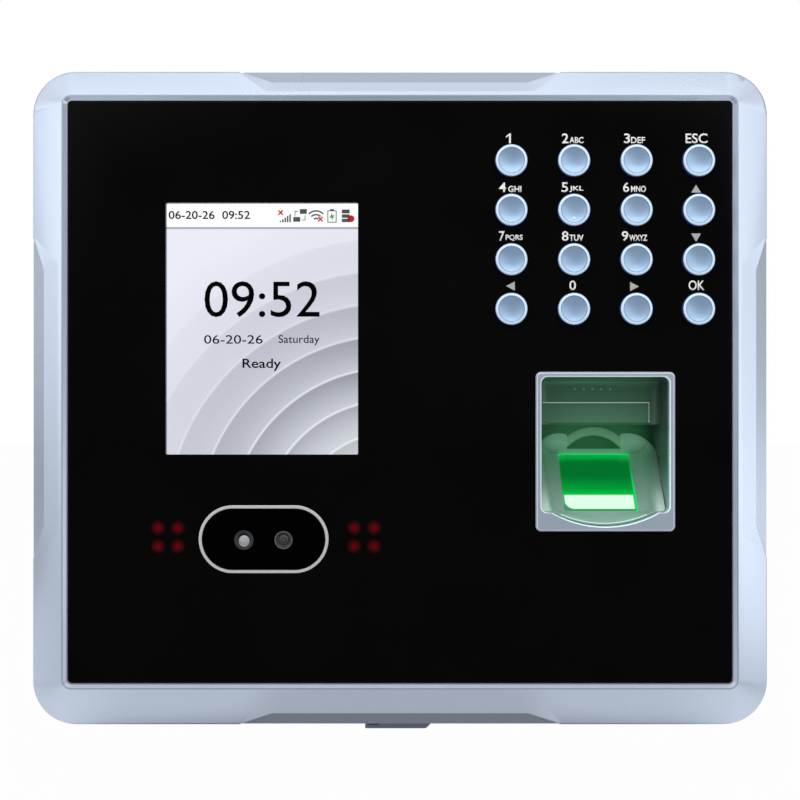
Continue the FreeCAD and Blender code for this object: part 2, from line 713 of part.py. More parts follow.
def mouth_wire(y, shrink):
    """The reader's mouth: straight sides, round corners and a scooped sill."""
    half = mouth_width / 2 - shrink
    top = mouth_top - shrink
    sill = mouth_bottom + shrink * 0.4
    chord = scoop_chord / 2 - shrink
    r = mouth_corner
    dip = sill - scoop_depth + shrink * 0.6
    t = r * (1 - math.sqrt(0.5))

    def p(x, z):
        return Vec(finger_x + x, y, z)

    edges = [
        Part.Arc(p(-chord, sill), p(0, dip), p(chord, sill)).toShape(),
        Part.LineSegment(p(chord, sill), p(half - r, sill)).toShape(),
        Part.Arc(p(half - r, sill), p(half - t, sill + t), p(half, sill + r)).toShape(),
        Part.LineSegment(p(half, sill + r), p(half, top - r)).toShape(),
        Part.Arc(p(half, top - r), p(half - t, top - t), p(half - r, top)).toShape(),
        Part.LineSegment(p(half - r, top), p(-half + r, top)).toShape(),
        Part.Arc(p(-half + r, top), p(-half + t, top - t), p(-half, top - r)).toShape(),
        Part.LineSegment(p(-half, top - r), p(-half, sill + r)).toShape(),
        Part.Arc(p(-half, sill + r), p(-half + t, sill + t), p(-half + r, sill)).toShape(),
        Part.LineSegment(p(-half + r, sill), p(-chord, sill)).toShape(),
    ]
    return Part.Wire(edges)


def well_hollow():
    """The open inside of the reader's well: a drafted mouth over a deep lower part."""
    rings = [mouth_wire(chassis_front, 0.0)]
    for i in range(well_steps + 1):
        turn = math.radians(90 * i / well_steps)
        rings.append(mouth_wire(well_back - well_soft * (1 - math.sin(turn)),
                                well_draft + well_soft * (1 - math.cos(turn))))
    mouth = Part.makeLoft(rings, True, True)
    x0, x1 = finger_x - well_half, finger_x + well_half
    deep = block(x0, x1, deep_front, far_wall, deep_low, overhang_z)
    under_glass = block(x0, x1, far_wall - 0.1, saddle_back, deep_low, platen_high[1] - 0.1)
    return mouth.fuse([deep, under_glass])


def well_screw_spots():
    """Screws through the well's flange, two each side."""
    return [(finger_x + sx * 17.2, bezel_z + z) for sx in (-1, 1) for z in (12.0, -16.0)]


def finger_bezel():
    """Silver trim round the mouth, with the scooped sill."""
    trim = slab(bezel_width, bezel_height, 1.2, bezel_front, chassis_front, finger_x, bezel_z)
    trim = trim.makeChamfer(bezel_chamfer, edges_at_y(trim, bezel_front))
    trim = trim.cut(taper(mouth_wire(bezel_front - bezel_chamfer, -bezel_chamfer),
                          mouth_wire(bezel_front + bezel_chamfer, 0.0)))
    return trim.cut(along_y(mouth_wire(bezel_front, 0.0), chassis_front))


def fingertip_arch(radius_change, y_front, y_back):
    """The niche's arched outline, grown by a little and filled along Y."""
    radius = (niche_half ** 2 + niche_rise ** 2) / (2 * niche_rise)
    top = niche_foot + niche_rise
    arch = disc(finger_x, top - radius, radius + radius_change, y_front, y_back)
    half = niche_half + radius_change
    return arch.common(block(finger_x - half, finger_x + half, y_front, y_back, niche_foot - 0.1, top + 3))


def fingertip_brow():
    """A soft round moulding over the niche, following its arch."""
    arch_radius = (niche_half ** 2 + niche_rise ** 2) / (2 * niche_rise)
    centre = Vec(finger_x, far_wall, niche_foot + niche_rise - arch_radius)
    brow = Part.makeTorus(arch_radius + 0.9, 1.1, centre, Vec(0, 1, 0))
    half = niche_half
    return brow.common(block(finger_x - half, finger_x + half, far_wall - 2, far_wall + 0.4,
                             niche_foot + 0.3, overhang_z + 1))


def finger_well():
    """The reader's box: drafted walls, an overhanging upper back and a flange for screws."""
    x0, x1 = finger_x - well_outer, finger_x + well_outer
    box = slab(x1 - x0, bezel_height - 0.8, 1.3, chassis_front, well_back + well_wall, finger_x, bezel_z)
    deep = block(x0, x1, well_back, well_rear, deep_low + 1, overhang_z + 1.2)
    flange = slab(*well_flange, chassis_back + 0.05, chassis_back + 1.6, finger_x, bezel_z)
    box = box.fuse([deep, flange]).cut(well_hollow())
    box = box.cut(fingertip_arch(0.0, far_wall - 0.1, far_wall + 2.6))
    box = box.fuse(fingertip_brow())
    # raised band across the upper back, and five pin marks over it
    x_left, x_right, z_low, z_high = well_band
    band = block(finger_x + x_left, finger_x + x_right, well_back - 0.5, well_back + 0.2, z_low, z_high)
    box = box.fuse(band.makeChamfer(0.22, edges_at_y(band, well_back - 0.5)))
    first_x, pitch, mark_z = pin_marks
    box = box.cut([disc(finger_x + first_x + pitch * i, mark_z, 0.25, well_back - 1, well_back + 0.4)
                   for i in range(5)])
    # legs that the optics box is screwed to
    legs = [block(finger_x + x, finger_x + x + leg_width, leg_front, saddle_back, leg_low, deep_low + 2)
            for x in (-well_outer + 0.05, well_outer - 0.05 - leg_width)]
    box = box.fuse(legs)
    box = box.cut([upright(finger_x + sx * sensor_screw_x, sensor_screw_y, small_shank, leg_low, deep_low + 3)
                   for sx in (-1, 1)])
    box = box.cut([disc(x, z, small_shank + screw_clear, chassis_front, mat_front)
                   for x, z in well_screw_spots()])
    return box.removeSplitter()


def slope_plane_z(y):
    """Height of the glass's plane at one depth."""
    return platen_low[1] + (y - platen_low[0]) * slope_z / slope_y


def trough_outline():
    """The finger's trough across the slope: a flat between two curved cheeks."""
    steps = 6
    run, rise = cheek_half - trough_half, cheek_rise + platen_proud
    curve = [math.radians(90 * i / steps) for i in range(steps + 1)]
    right = [(trough_half + run * math.sin(a), rise * (1 - math.cos(a)) - platen_proud) for a in curve]
    flat = [(trough_half * i / 4, -platen_proud) for i in range(-3, 4)]
    left = [(-x, n) for x, n in reversed(right)]
    return left + flat + right + [(cheek_half, 30), (-cheek_half, 30)]


def trough_section(y, scooped):
    """The trough cut upright at one depth, level or following the sill's scoop."""
    arc_radius = (scoop_chord ** 2 / 4 + scoop_depth ** 2) / (2 * scoop_depth)
    lowest = mouth_bottom - scoop_depth + lip_thick

    def height(x, n):
        if not scooped or n > cheek_rise:
            return slope_plane_z(y) + n * slope_length / slope_y
        scoop = arc_radius - math.sqrt(arc_radius ** 2 - x ** 2)
        return min(lowest + scoop, cheek_low[1] + 0.2)

    pts = [Vec(finger_x + x, y, height(x, n)) for x, n in trough_outline()]
    return Part.makePolygon(pts + [pts[0]])


def platen_frame():
    """Sloping saddle: a flat round the glass, raised cheeks, shoulders and a scooped lead-in."""
    y_near, y_far, y_under = cheek_low[0], far_wall - 0.02, saddle_back - 0.05
    y_deep = deep_front + 0.2
    sill = mouth_bottom - scoop_depth - 0.8
    outline = [
        (y_deep, saddle_low), (y_deep, sill), (y_near, sill), cheek_low, cheek_high,
        (y_far, cheek_high[1] + 0.3), (y_far, platen_high[1] - 0.15),
        (y_under, platen_high[1] - 0.15), (y_under, saddle_step[0]),
        (saddle_step[1], saddle_low),
    ]
    half = well_half - 0.05
    saddle = side_prism(outline, finger_x - half, finger_x + half)
    # its front end fits inside the mouth
    front = saddle.common(along_y(mouth_wire(y_near - 0.1, 0.12), y_deep))
    saddle = front.fuse(saddle.common(block(finger_x - half, finger_x + half, y_deep - 0.01, 0, -40, 0)))
    upper_trough = slope_profile(trough_outline(), -6, slope_length + 0.15)
    saddle = saddle.cut(upper_trough.common(block(finger_x - 20, finger_x + 20, trough_foot, 0, -40, 20)))
    saddle = saddle.cut(taper(trough_section(trough_foot, False), trough_section(y_near - 0.1, True)))
    # past the glass the trough narrows between two rounded shoulders
    neck = niche_half + 0.1
    saddle = saddle.cut(slope_tool(slope_length, 30, 2 * neck, -0.1, 30))
    saddle = saddle.cut([shoulder_round(sx) for sx in (-1, 1)])
    # the glass's seat, and the light path under it
    saddle = saddle.cut(slope_tool(-0.05, slope_length + 0.05, platen_width + 0.1, -platen_thick - 0.05, 2))
    return saddle.cut(slope_tool(seat_ledge, slope_length - seat_ledge, platen_width - 2 * seat_ledge,
                                 -20, -platen_thick + 0.4)).removeSplitter()


def shoulder_round(side):
    """What is cut off above one shoulder, to leave it arched from side to side."""
    top = cheek_high[1] + 0.1
    near, far = niche_half - 1.0, well_half + 0.2

    def p(x, z):
        return Vec(finger_x + side * x, cheek_high[0] - 5, z)

    def on_arc(x):
        return p(x, top - shoulder_radius + math.sqrt(shoulder_radius ** 2 - (x - shoulder_x) ** 2))

    outline = Part.Wire([
        Part.Arc(on_arc(near), on_arc(shoulder_x), on_arc(far)).toShape(),
        Part.makePolygon([on_arc(far), p(far, 0), p(near, 0), on_arc(near)]),
    ])
    return along_y(outline, -8.0)


def platen():
    """Glass block that the finger is laid on."""
    body = slope_tool(0, slope_length, platen_width, -platen_thick, 0)
    top = [e for e in body.Edges if all(abs((v.Point - platen_foot).dot(outward)) < 1e-4 for v in e.Vertexes)]
    return body.makeChamfer(0.35, top)


def sensor_module():
    """Optics box under the glass, with a throat up to it and two screwed ears."""
    back = saddle_back + 0.1
    outline = [(module_front, module_top), (module_front, module_low), (back, module_low), (back, module_top)]
    box = side_prism(outline, finger_x - module_width / 2, finger_x + module_width / 2)
    throat = side_prism([(-19.6, module_top), (-13.2, -21.5), (-10.6, -21.5), (-10.6, module_top)],
                        finger_x - 7.0, finger_x + 7.0)
    ears = [block(finger_x + x, finger_x + x + 4.0, leg_front, saddle_back, leg_low - ear_thick, leg_low)
            for x in (-15.8, 11.8)]
    module = join([box, throat] + ears)
    return module.cut([upright(finger_x + sx * sensor_screw_x, sensor_screw_y, small_shank + screw_clear,
                               leg_low - ear_thick - 1, leg_low + 1) for sx in (-1, 1)])


def sensor_board():
    """Board under the optics box, with its chip and plug."""
    low = module_low - 1.2
    board = block(finger_x - 11.5, finger_x + 11.5, -26.0, -9.6, low, module_low)
    chip = block(finger_x - 4, finger_x + 4, -22, -14, low - 1, low)
    plug = block(finger_x + 6, finger_x + 12, -24, -12, low - 2, low)
    return join([board, chip, plug])


# ============================================================= electronics
def main_board():
    """Main circuit board, notched at the corner screws."""
    board = block(board_left, board_right, board_front, board_back, board_low, board_high)
    board = board.cut([disc(x, z, board_shank + screw_clear, board_front - 1, board_back + 1)
                       for x, z in board_screw_spots])
    notch_x = -case_screw_x + 5
    return board.cut([block(board_left - 1, notch_x, board_front - 1, board_back + 1, z - 5, z + 5)
                      for z in (-case_screw_z, case_screw_z)])


def board_components():
    """Shield can and the larger chips on the board's front."""
    chips = [block(x0, x1, board_front - high, board_front, z0, z1) for x0, x1, z0, z1, high in chip_spots]
    can_top = board_front - chip_spots[0][4]
    chips[0] = chips[0].makeFillet(0.5, edges_at_y(chips[0], can_top))
    return Part.makeCompound(chips)


def network_socket():
    """Cable socket, opening downward in the connector bay."""
    x0, x1, z0, z1 = network_box
    back = board_back + 12.3
    shell = block(x0, x1, board_back, back, z0, z1)
    shell = shell.cut(block(x0 + 2, x1 - 2, board_back + 1.6, back - 2, z0 - 1, z1 - 5))
    # the groove for the plug's latch
    return shell.cut(block(x0 + 5, x1 - 5, back - 2.1, back - 0.8, z0 - 1, z1 - 5))


def terminal_blocks():
    """Two rows of wire clamps in the connector bay."""
    rows = []
    wall, gap = 0.9, 1.2
    for z_low, count in clamp_rows:
        end = clamp_x + clamp_pitch * count
        body = block(clamp_x, end, board_back, clamp_back, z_low, z_low + clamp_height)
        mouths = [block(clamp_x + clamp_pitch * i + wall, clamp_x + clamp_pitch * (i + 1) - wall,
                        board_back + 2.3, clamp_back - 3.2, z_low - 1, z_low + 5.5) for i in range(count)]
        screws = [disc(clamp_x + clamp_pitch * (i + 0.5), z_low + 6.0, 1.5, clamp_back - gap, clamp_back + 1)
                  for i in range(count)]
        rows.append(body.cut(mouths + screws))
    return Part.makeCompound(rows)


def usb_socket():
    """Open metal socket with its tongue, facing down."""
    width, depth, low, high = usb_shell
    x0, x1 = usb_x - width / 2, usb_x + width / 2
    y0, y1 = board_back, board_back + depth
    metal = 0.4
    shell = block(x0, x1, y0, y1, low, high)
    shell = shell.cut(block(x0 + metal, x1 - metal, y0 + metal, y1 - metal, low - 1, high - 2))
    tongue = block(x0 + 1.3, x1 - 1.3, y0 + 1.1, y0 + 2.9, low + 0.7, high - 1.9)
    return shell.fuse(tongue).removeSplitter()


def backup_battery():
    """Flat cell on the rear case's floor."""
    front = rear_inner - 6.0
    pack = slab(46.0, 27.0, 2.0, front, rear_inner - 0.05, 51.0, 22.0)
    return pack.makeFillet(1.2, edges_at_y(pack, front))


def speaker():
    """Slim loudspeaker over the slots in the lower wall."""
    frame = block(speaker_x - 15, speaker_x + 15, speaker_y - 5.0, speaker_y + 3.6, -69.6, -64.6)
    cone = upright(speaker_x, speaker_y - 0.7, 3.6, -65, -63.4)
    return join([frame, cone])


def tamper_switch():
    """Switch body on the board, open towards the wall for its plunger."""
    body = block(tamper_x - 3, tamper_x + 3, board_back, switch_back, tamper_z - 3, tamper_z + 3)
    body = body.cut(disc(tamper_x, tamper_z, tamper_radius + 0.05, board_back + 0.9, switch_back + 1))
    return body.cut(disc(tamper_x, tamper_z, tamper_collar + 0.1, board_back + 0.9, switch_back - 1.0))


def tamper_plunger():
    """Plunger that the wall holds in."""
    collar_back = switch_back - 1.0 - tamper_travel - 0.1
    tip = -0.05
    return turned([
        (0, collar_back - 1.0), (tamper_collar, collar_back - 1.0), (tamper_collar, collar_back),
        (tamper_radius, collar_back), (tamper_radius, tip - 0.4), (tamper_radius - 0.4, tip), (0, tip),
    ], tamper_x, tamper_z)


# ================================================================ rear case
def rear_housing():
    """Rear shell: recess for the wall plate, connector bay, slots and bosses."""
    outer = taper(rounded_wire(*rear_outer[0], parting_y), rounded_wire(*rear_outer[1], back_y))
    outer = outer.makeFillet(1.8, edges_at_y(outer, back_y))
    inner = taper(rounded_wire(*rear_hollow[0], parting_y), rounded_wire(*rear_hollow[1], rear_inner))
    shell = outer.cut(inner)
    lip = slab(*rear_lip, parting_y - 2.0, parting_y + 0.01)
    shell = shell.fuse(lip.cut(slab(*rear_hollow[0], parting_y - 3, parting_y + 1)))
    shell = shell.cut(slab(recess_width, recess_height, 4.0, recess_floor, 1))

    # bosses for the case screws and the main board, ribs, and the tubs open to the wall
    root = rear_inner + 0.5
    bosses = [disc(x, z, case_shank + 2.5, parting_y + 0.02, root) for x, z in case_screw_spots]
    bosses += [disc(x, z, board_shank + 2.1, board_back, root) for x, z in board_screw_spots]
    ribs = [block(x, x + rib_thick, rear_inner - rib_height, root, low, high) for x, low, high in rear_ribs]
    w = bay_wall
    tub = block(bay[0] - w, bay[1] + w, board_back + 0.1, root, bay[2] - w, bay[3] + w)
    x0, x1, z0, z1 = lock_bay
    lock_tub = block(x0 - w, x1 + w, lock_bay_front - w, root, z0 - w, z1 + w)
    lock_boss = upright(lock_x, lock_y, lock_screw_radius + 1.9, -72.0, z0 - 1)
    shell = shell.fuse(bosses + ribs + [tub, lock_tub, lock_boss])
    shell = shell.cut(block(bay[0], bay[1], board_back, 1, bay[2], bay[3]))
    shell = shell.cut(block(x0, x1, lock_bay_front, 1, z0, z1))

    cuts = [disc(x, z, case_shank + screw_clear, parting_y - 1, 1) for x, z in case_screw_spots]
    cuts += [disc(x, z, case_head + 0.5, case_screw_seat, 1) for x, z in case_screw_spots]
    cuts += [disc(x, z, board_shank, board_back - 1, -8.0) for x, z in board_screw_spots]
    cuts += [block(x - hook_width / 2 - 0.6, x + hook_width / 2 + 0.6, rear_inner - 1, recess_floor + 1,
                   z - 6.8, z + plate_thick + 0.05) for x, z in hook_spots]
    cuts += [disc(tamper_x, tamper_z, tamper_radius + 0.4, rear_inner - 1, 1)]
    cuts += [upright(lock_x, lock_y, lock_screw_radius + 0.15, cover_bottom, z0 + 6)]
    cuts += [upright(lock_x, lock_y, lock_head_radius + 0.3, cover_bottom, lock_head_top + 0.05)]
    shell = shell.cut(cuts)

    # lower wall: the socket's opening, the sound slots and the cover's ears
    mx, my = usb_mouth[0] / 2, usb_mouth[1] / 2
    above_wall, below_wall = -68.0, -80.0
    shell = shell.cut(block(usb_x - mx, usb_x + mx, usb_y - my, usb_y + my, below_wall, above_wall))
    slot_width, slot_pitch = 1.6, 3.4
    slots = [speaker_x + slot_pitch * (i - 3.5) - slot_width / 2 for i in range(8)]
    shell = shell.cut([block(x, x + slot_width, speaker_y - 3.6, speaker_y + 3.0, below_wall, above_wall)
                       for x in slots])
    ears = []
    for y0 in (cover_front, cover_back - ear_width):
        ear = disc(hinge_x, hinge_z, hinge_radius, y0, y0 + ear_width)
        neck = block(hinge_x - neck_reach, hinge_x + hinge_radius, y0, y0 + ear_width, hinge_z, -72.0)
        ears.append(ear.fuse(neck).cut(disc(hinge_x, hinge_z, pin_radius, y0 - 1, y0 + 3)))
    shell = shell.fuse(ears)
    # cooling slots in the upper wall
    vents = [block(x, x + 3.5, -12.6, -11.2, 66, 80) for x in (-42, -36, -30, -24, -18, -12)]
    return shell.cut(vents).removeSplitter()


def usb_cover():
    """Hinged cover under the socket, with a slanting finger end and a low seal."""
    tip_x = 6.1
    end_x = tip_x + cover_top - cover_bottom
    start_x = hinge_x + 1.9
    # a lip runs on under the hinge
    lip_x, lip_top = hinge_x - 1.4, hinge_z - hinge_radius - 0.15
    plate = front_prism([
        (start_x, cover_top), (end_x, cover_top), (tip_x, cover_bottom), (lip_x, cover_bottom),
        (lip_x, lip_top), (start_x, lip_top),
    ], cover_front, cover_back)
    lower = [e for e in plate.Edges if all(abs(v.Z - cover_bottom) < 1e-4 for v in e.Vertexes)
             and abs(e.Vertexes[0].Y - e.Vertexes[-1].Y) < 1e-4]
    plate = plate.makeFillet(0.5, lower)
    between = (cover_front + ear_width + 0.2, cover_back - ear_width - 0.2)
    knuckle_radius = hinge_radius - 0.15
    knuckle = disc(hinge_x, hinge_z, knuckle_radius, *between)
    bridge = block(hinge_x, hinge_x + 2.0, *between, hinge_z - knuckle_radius, hinge_z + 1.3)
    seal = block(usb_x - 5.4, usb_x + 5.4, usb_y - 2.2, usb_y + 2.2, cover_top - 0.1, cover_top + 1.0)
    cover = join([plate, bridge, knuckle, seal])
    return cover.cut(disc(hinge_x, hinge_z, pin_radius + 0.05, cover_front - 1, cover_back + 1))


def usb_cover_pin():
    """Pin that the cover turns on, held in the two ears."""
    return disc(hinge_x, hinge_z, pin_radius, cover_front, cover_back)


# =============================================================== wall plate
def wall_plate():
    """Steel plate on the wall, with four hooks and a flange for the lock screw."""
    plate = slab(plate_width, plate_height, 3.0, -plate_thick, 0)
    ahead, behind = -5, 5
    x0, x1, z0, z1 = bay
    plate = plate.cut(slab(x1 - x0 + 10, z1 - z0 + 4, 4.0, ahead, behind, (x0 + x1) / 2, (z0 + z1) / 2))
    plate = plate.cut([disc(sx * wall_screw_dx / 2, sz * wall_screw_dz / 2, wall_screw_radius, ahead, behind)
                       for sx in (-1, 1) for sz in (-1, 1)])
    plate = plate.cut([disc(tamper_x, tamper_z, tamper_radius + 1, ahead, behind)])
    # each hook is bent out of its own window
    hooks = []
    half = hook_width / 2
    for x, z in hook_spots:
        plate = plate.cut(block(x - half - 0.3, x + half + 0.3, ahead, behind,
                                z + plate_thick, z + hook_window))
        arm = block(x - half, x + half, -hook_reach, -0.01, z, z + plate_thick)
        lip = block(x - half, x + half, -hook_reach, plate_thick - hook_reach, z, z + hook_height)
        hooks.append(arm.fuse(lip))
    low = -plate_height / 2
    flange = block(lock_x - 6, lock_x + 6, lock_bay_front + 0.8, -0.01, low, low + plate_thick)
    flange = flange.cut(upright(lock_x, lock_y, lock_screw_radius + 0.05, low - 8, low + 12))
    return plate.fuse(hooks + [flange]).removeSplitter()


def lock_screw():
    """Long screw from below that locks the terminal to its wall plate."""
    low = lock_head_top - 2.15
    head = upright(lock_x, lock_y, lock_head_radius, low, lock_head_top)
    head = head.cut(upright(lock_x, lock_y, 1.2, low - 1, low + 1.0))
    shank = upright(lock_x, lock_y, lock_screw_radius, lock_head_top - 0.05, lock_bay[3] - 0.5)
    return head.fuse(shank).removeSplitter()


# ================================================================ fasteners
def case_screws():
    """Four long screws from the back that close the case."""
    return Part.makeCompound([pan_screw(x, z, case_screw_seat, case_screw_length, case_shank, case_head,
                                        case_head_high) for x, z in case_screw_spots])


def small_screws():
    """Screws of the main board, keypad board, cameras and finger reader."""
    small = (small_shank, small_head, small_head_high)
    screws = [pan_screw(x, z, board_front, 6.0, board_shank, board_head, board_head_high, toward=-1)
              for x, z in board_screw_spots]
    screws += [pan_screw(x, z, keypad_board_back, 4.2, *small) for x, z in keypad_posts()]
    screws += [pan_screw(x, z, camera_board_front + small_board_thick, 5.6, *small)
               for x, z in camera_posts()]
    screws += [pan_screw(x, z, chassis_back + 1.6, 2.8, *small) for x, z in well_screw_spots()]
    under_ear = leg_low - ear_thick
    screws += [join([upright(finger_x + sx * sensor_screw_x, sensor_screw_y, small_head - 0.1,
                             under_ear - small_head_high, under_ear),
                     upright(finger_x + sx * sensor_screw_x, sensor_screw_y, small_shank,
                             under_ear - 0.1, leg_low + 3.9)]) for sx in (-1, 1)]
    return Part.makeCompound(screws)


# ==================================================================== parts
def all_parts():
    """Every piece by its node name."""
    parts = {
        "front_housing": front_housing(),
        "chassis": chassis(),
        "front_panel": front_panel(),
        "panel_tape": panel_tape(),
        "display_window": display_window(),
        "camera_window": camera_window(),
        "camera_ring": camera_ring(),
        "keypad_mat": keypad_mat(),
        "keypad_board": keypad_board(),
        "camera_bracket": camera_bracket(),
        "camera_barrels": camera_barrels(),
        "camera_glasses": camera_glasses(),
        "camera_board": camera_board(),
        "infrared_leds": infrared_leds(),
        "infrared_boards": infrared_boards(),
        "display_glass": display_glass(),
        "display_backlight": display_backlight(),
        "display_ribbon": display_ribbon(),
        "finger_bezel": finger_bezel(),
        "finger_well": finger_well(),
        "platen_frame": platen_frame(),
        "platen": platen(),
        "sensor_module": sensor_module(),
        "sensor_board": sensor_board(),
        "main_board": main_board(),
        "board_components": board_components(),
        "network_socket": network_socket(),
        "terminal_blocks": terminal_blocks(),
        "usb_socket": usb_socket(),
        "backup_battery": backup_battery(),
        "speaker": speaker(),
        "tamper_switch": tamper_switch(),
        "tamper_plunger": tamper_plunger(),
        "rear_housing": rear_housing(),
        "usb_cover": usb_cover(),
        "usb_cover_pin": usb_cover_pin(),
        "wall_plate": wall_plate(),
        "lock_screw": lock_screw(),
        "case_screws": case_screws(),
        "small_screws": small_screws(),
    }
    for row, z in zip(key_names, key_rows):
        for name, x in zip(row, key_columns):
            parts[name] = key(x, z, name == "key_5")
    return parts


os.makedirs("parts", exist_ok=True)
for name, shape in all_parts().items():
    shape.exportStep(os.path.join("parts", name + ".step"))
    solids = len(shape.Solids)
    print(f"{name:20s} solids {solids:2d}  volume {shape.Volume:10.1f}  valid {shape.isValid()}")
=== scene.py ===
import bpy
import bmesh
import json
from math import asin, cos, degrees, hypot, pi, radians, sin
from contextlib import contextmanager
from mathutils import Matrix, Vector

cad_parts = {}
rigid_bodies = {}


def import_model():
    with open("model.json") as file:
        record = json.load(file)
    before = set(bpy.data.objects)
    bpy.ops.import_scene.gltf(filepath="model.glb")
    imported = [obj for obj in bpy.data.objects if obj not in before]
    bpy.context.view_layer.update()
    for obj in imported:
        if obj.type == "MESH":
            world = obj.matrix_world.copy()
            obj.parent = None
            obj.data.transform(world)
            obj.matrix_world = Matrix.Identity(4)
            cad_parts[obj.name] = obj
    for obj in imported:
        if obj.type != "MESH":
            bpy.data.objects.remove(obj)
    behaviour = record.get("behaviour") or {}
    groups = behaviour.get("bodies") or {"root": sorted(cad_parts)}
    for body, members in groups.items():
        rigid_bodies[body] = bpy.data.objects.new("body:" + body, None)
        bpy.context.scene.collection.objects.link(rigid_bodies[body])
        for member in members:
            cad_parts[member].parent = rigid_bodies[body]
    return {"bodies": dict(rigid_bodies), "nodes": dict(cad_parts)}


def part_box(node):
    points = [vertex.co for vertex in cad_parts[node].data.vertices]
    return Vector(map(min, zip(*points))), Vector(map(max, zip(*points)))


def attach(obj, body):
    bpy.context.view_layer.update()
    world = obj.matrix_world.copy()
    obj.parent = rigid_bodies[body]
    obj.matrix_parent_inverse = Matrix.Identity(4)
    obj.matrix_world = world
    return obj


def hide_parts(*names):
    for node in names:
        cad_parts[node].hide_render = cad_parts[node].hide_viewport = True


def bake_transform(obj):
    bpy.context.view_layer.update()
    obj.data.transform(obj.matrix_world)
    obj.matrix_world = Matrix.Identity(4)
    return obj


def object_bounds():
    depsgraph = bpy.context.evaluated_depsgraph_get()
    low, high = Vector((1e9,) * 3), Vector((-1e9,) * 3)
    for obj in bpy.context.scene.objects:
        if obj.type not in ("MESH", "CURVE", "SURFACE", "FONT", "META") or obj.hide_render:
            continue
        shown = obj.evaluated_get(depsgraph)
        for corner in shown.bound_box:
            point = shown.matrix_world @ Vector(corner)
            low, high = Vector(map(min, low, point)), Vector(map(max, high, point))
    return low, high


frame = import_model()
nodes = frame["nodes"]
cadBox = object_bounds()
mm = 0.001
print("terminal: frame loaded,", len(nodes), "nodes")


def maths(operation, turned=False):
    # an operator of Val; turned: the wrapped number comes last
    def method(self, *others):
        values = (*others, self) if turned else (self, *others)
        return self.tree.number("ShaderNodeMath", dict(enumerate(values)), operation=operation)
    return method


class Val:
    # wraps one number socket, so that arithmetic on it adds Math nodes
    def __init__(self, tree, socket):
        self.tree, self.socket = tree, socket

    __add__ = __radd__ = maths("ADD")
    __sub__, __rsub__ = maths("SUBTRACT"), maths("SUBTRACT", True)
    __mul__ = __rmul__ = maths("MULTIPLY")
    __truediv__, __pow__ = maths("DIVIDE"), maths("POWER")
    root, size, part = maths("SQRT"), maths("ABSOLUTE"), maths("FRACT")
    atLeast, atMost = maths("MAXIMUM"), maths("MINIMUM")

    def above(self, edge, soft):
        # 0 below the edge, 1 above it, with a soft step between
        limits = {0: self, 1: edge - soft, 2: edge + soft, 3: 0.0, 4: 1.0}
        return self.tree.number("ShaderNodeMapRange", limits, interpolation_type="SMOOTHSTEP")

    def below(self, edge, soft):
        return 1 - self.above(edge, soft)


class Tree:
    # one node tree and the calls that fill it
    def __init__(self, tree):
        self.tree = tree

    def give(self, entry, value):
        # links a socket or a Val and sets anything else; colours come as three numbers
        value = getattr(value, "socket", value)
        if isinstance(value, bpy.types.NodeSocket):
            self.tree.links.new(value, entry)
        else:
            entry.default_value = (*value, 1.0) if entry.type == "RGBA" else value

    def add(self, kind, sockets=None, **settings):
        node = self.tree.nodes.new(kind)
        for key, value in settings.items():
            setattr(node, key, value)
        for key, value in (sockets or {}).items():
            self.give(node.inputs[key], value)
        return node

    def out(self, kind, sockets=None, which=0, **settings):
        return self.add(kind, sockets, **settings).outputs[which]

    def number(self, *asked, **settings):
        return Val(self, self.out(*asked, **settings))

    def parts(self, vector):
        split = self.add("ShaderNodeSeparateXYZ", {0: vector}).outputs
        return [Val(self, split[i]) for i in range(3)]

    def joined(self, **parts):
        return self.out("ShaderNodeCombineXYZ", {part.upper(): value for part, value in parts.items()})

    def noise(self, grain, detail=3.0, rough=0.55):
        # smooth noise with features about one grain, in millimetres, across
        return self.number("ShaderNodeTexNoise", {"Vector": self.raw, "Scale": 1000 / grain,
                                                  "Detail": detail, "Roughness": rough})

    def blend(self, factor, first, second):
        return self.out("ShaderNodeMix", {0: factor, 6: first, 7: second}, 2, data_type="RGBA")

    def layers(self, colour, *steps):
        # colours laid over one another, each by its factor
        for factor, over in steps:
            colour = self.blend(factor, colour, over)
        return colour

    def bump(self, height, strength, distance):
        return self.out("ShaderNodeBump", {"Height": height, "Strength": strength, "Distance": distance * mm})

    def mark(self, name):
        # a number that the mesh carries at each face or corner
        return self.number("ShaderNodeAttribute", None, 2, attribute_name=name)

    def rays(self, *words):
        # for each kind of ray, whether it is the one that looks
        path = self.add("ShaderNodeLightPath").outputs
        return [Val(self, path[word]) for word in words]


def apart(a, b):
    # distance in a plane from its two parts
    return (a ** 2 + b ** 2).root()


def overlaid(level, *steps):
    # numbers laid over one another, each by its factor
    for factor, over in steps:
        level = level + factor * (over - level)
    return level


def srgb(red, green, blue):
    # screen colour, 0 to 255, to the linear colour that sockets take
    def linear(c):
        c /= 255
        return c / 12.92 if c <= 0.04045 else ((c + 0.055) / 1.055) ** 2.4
    return (linear(red), linear(green), linear(blue))


def dimmed(colour, share):
    return tuple(c * share for c in colour)


white, unlit = (1, 1, 1), (0, 0, 0)
shaderWords = {
    "colour": "Base Color", "roughness": "Roughness", "metallic": "Metallic", "alpha": "Alpha",
    "specular": "Specular IOR Level", "coat": "Coat Weight", "coatRoughness": "Coat Roughness",
    "normal": "Normal", "glow": "Emission Color", "strength": "Emission Strength",
}


def feed(tree, **values):
    # sets or links the shader's sockets by plain words
    if "glow" in values:
        values.setdefault("strength", 1.0)
    for word, value in values.items():
        tree.give(tree.shader.inputs[shaderWords[word]], value)


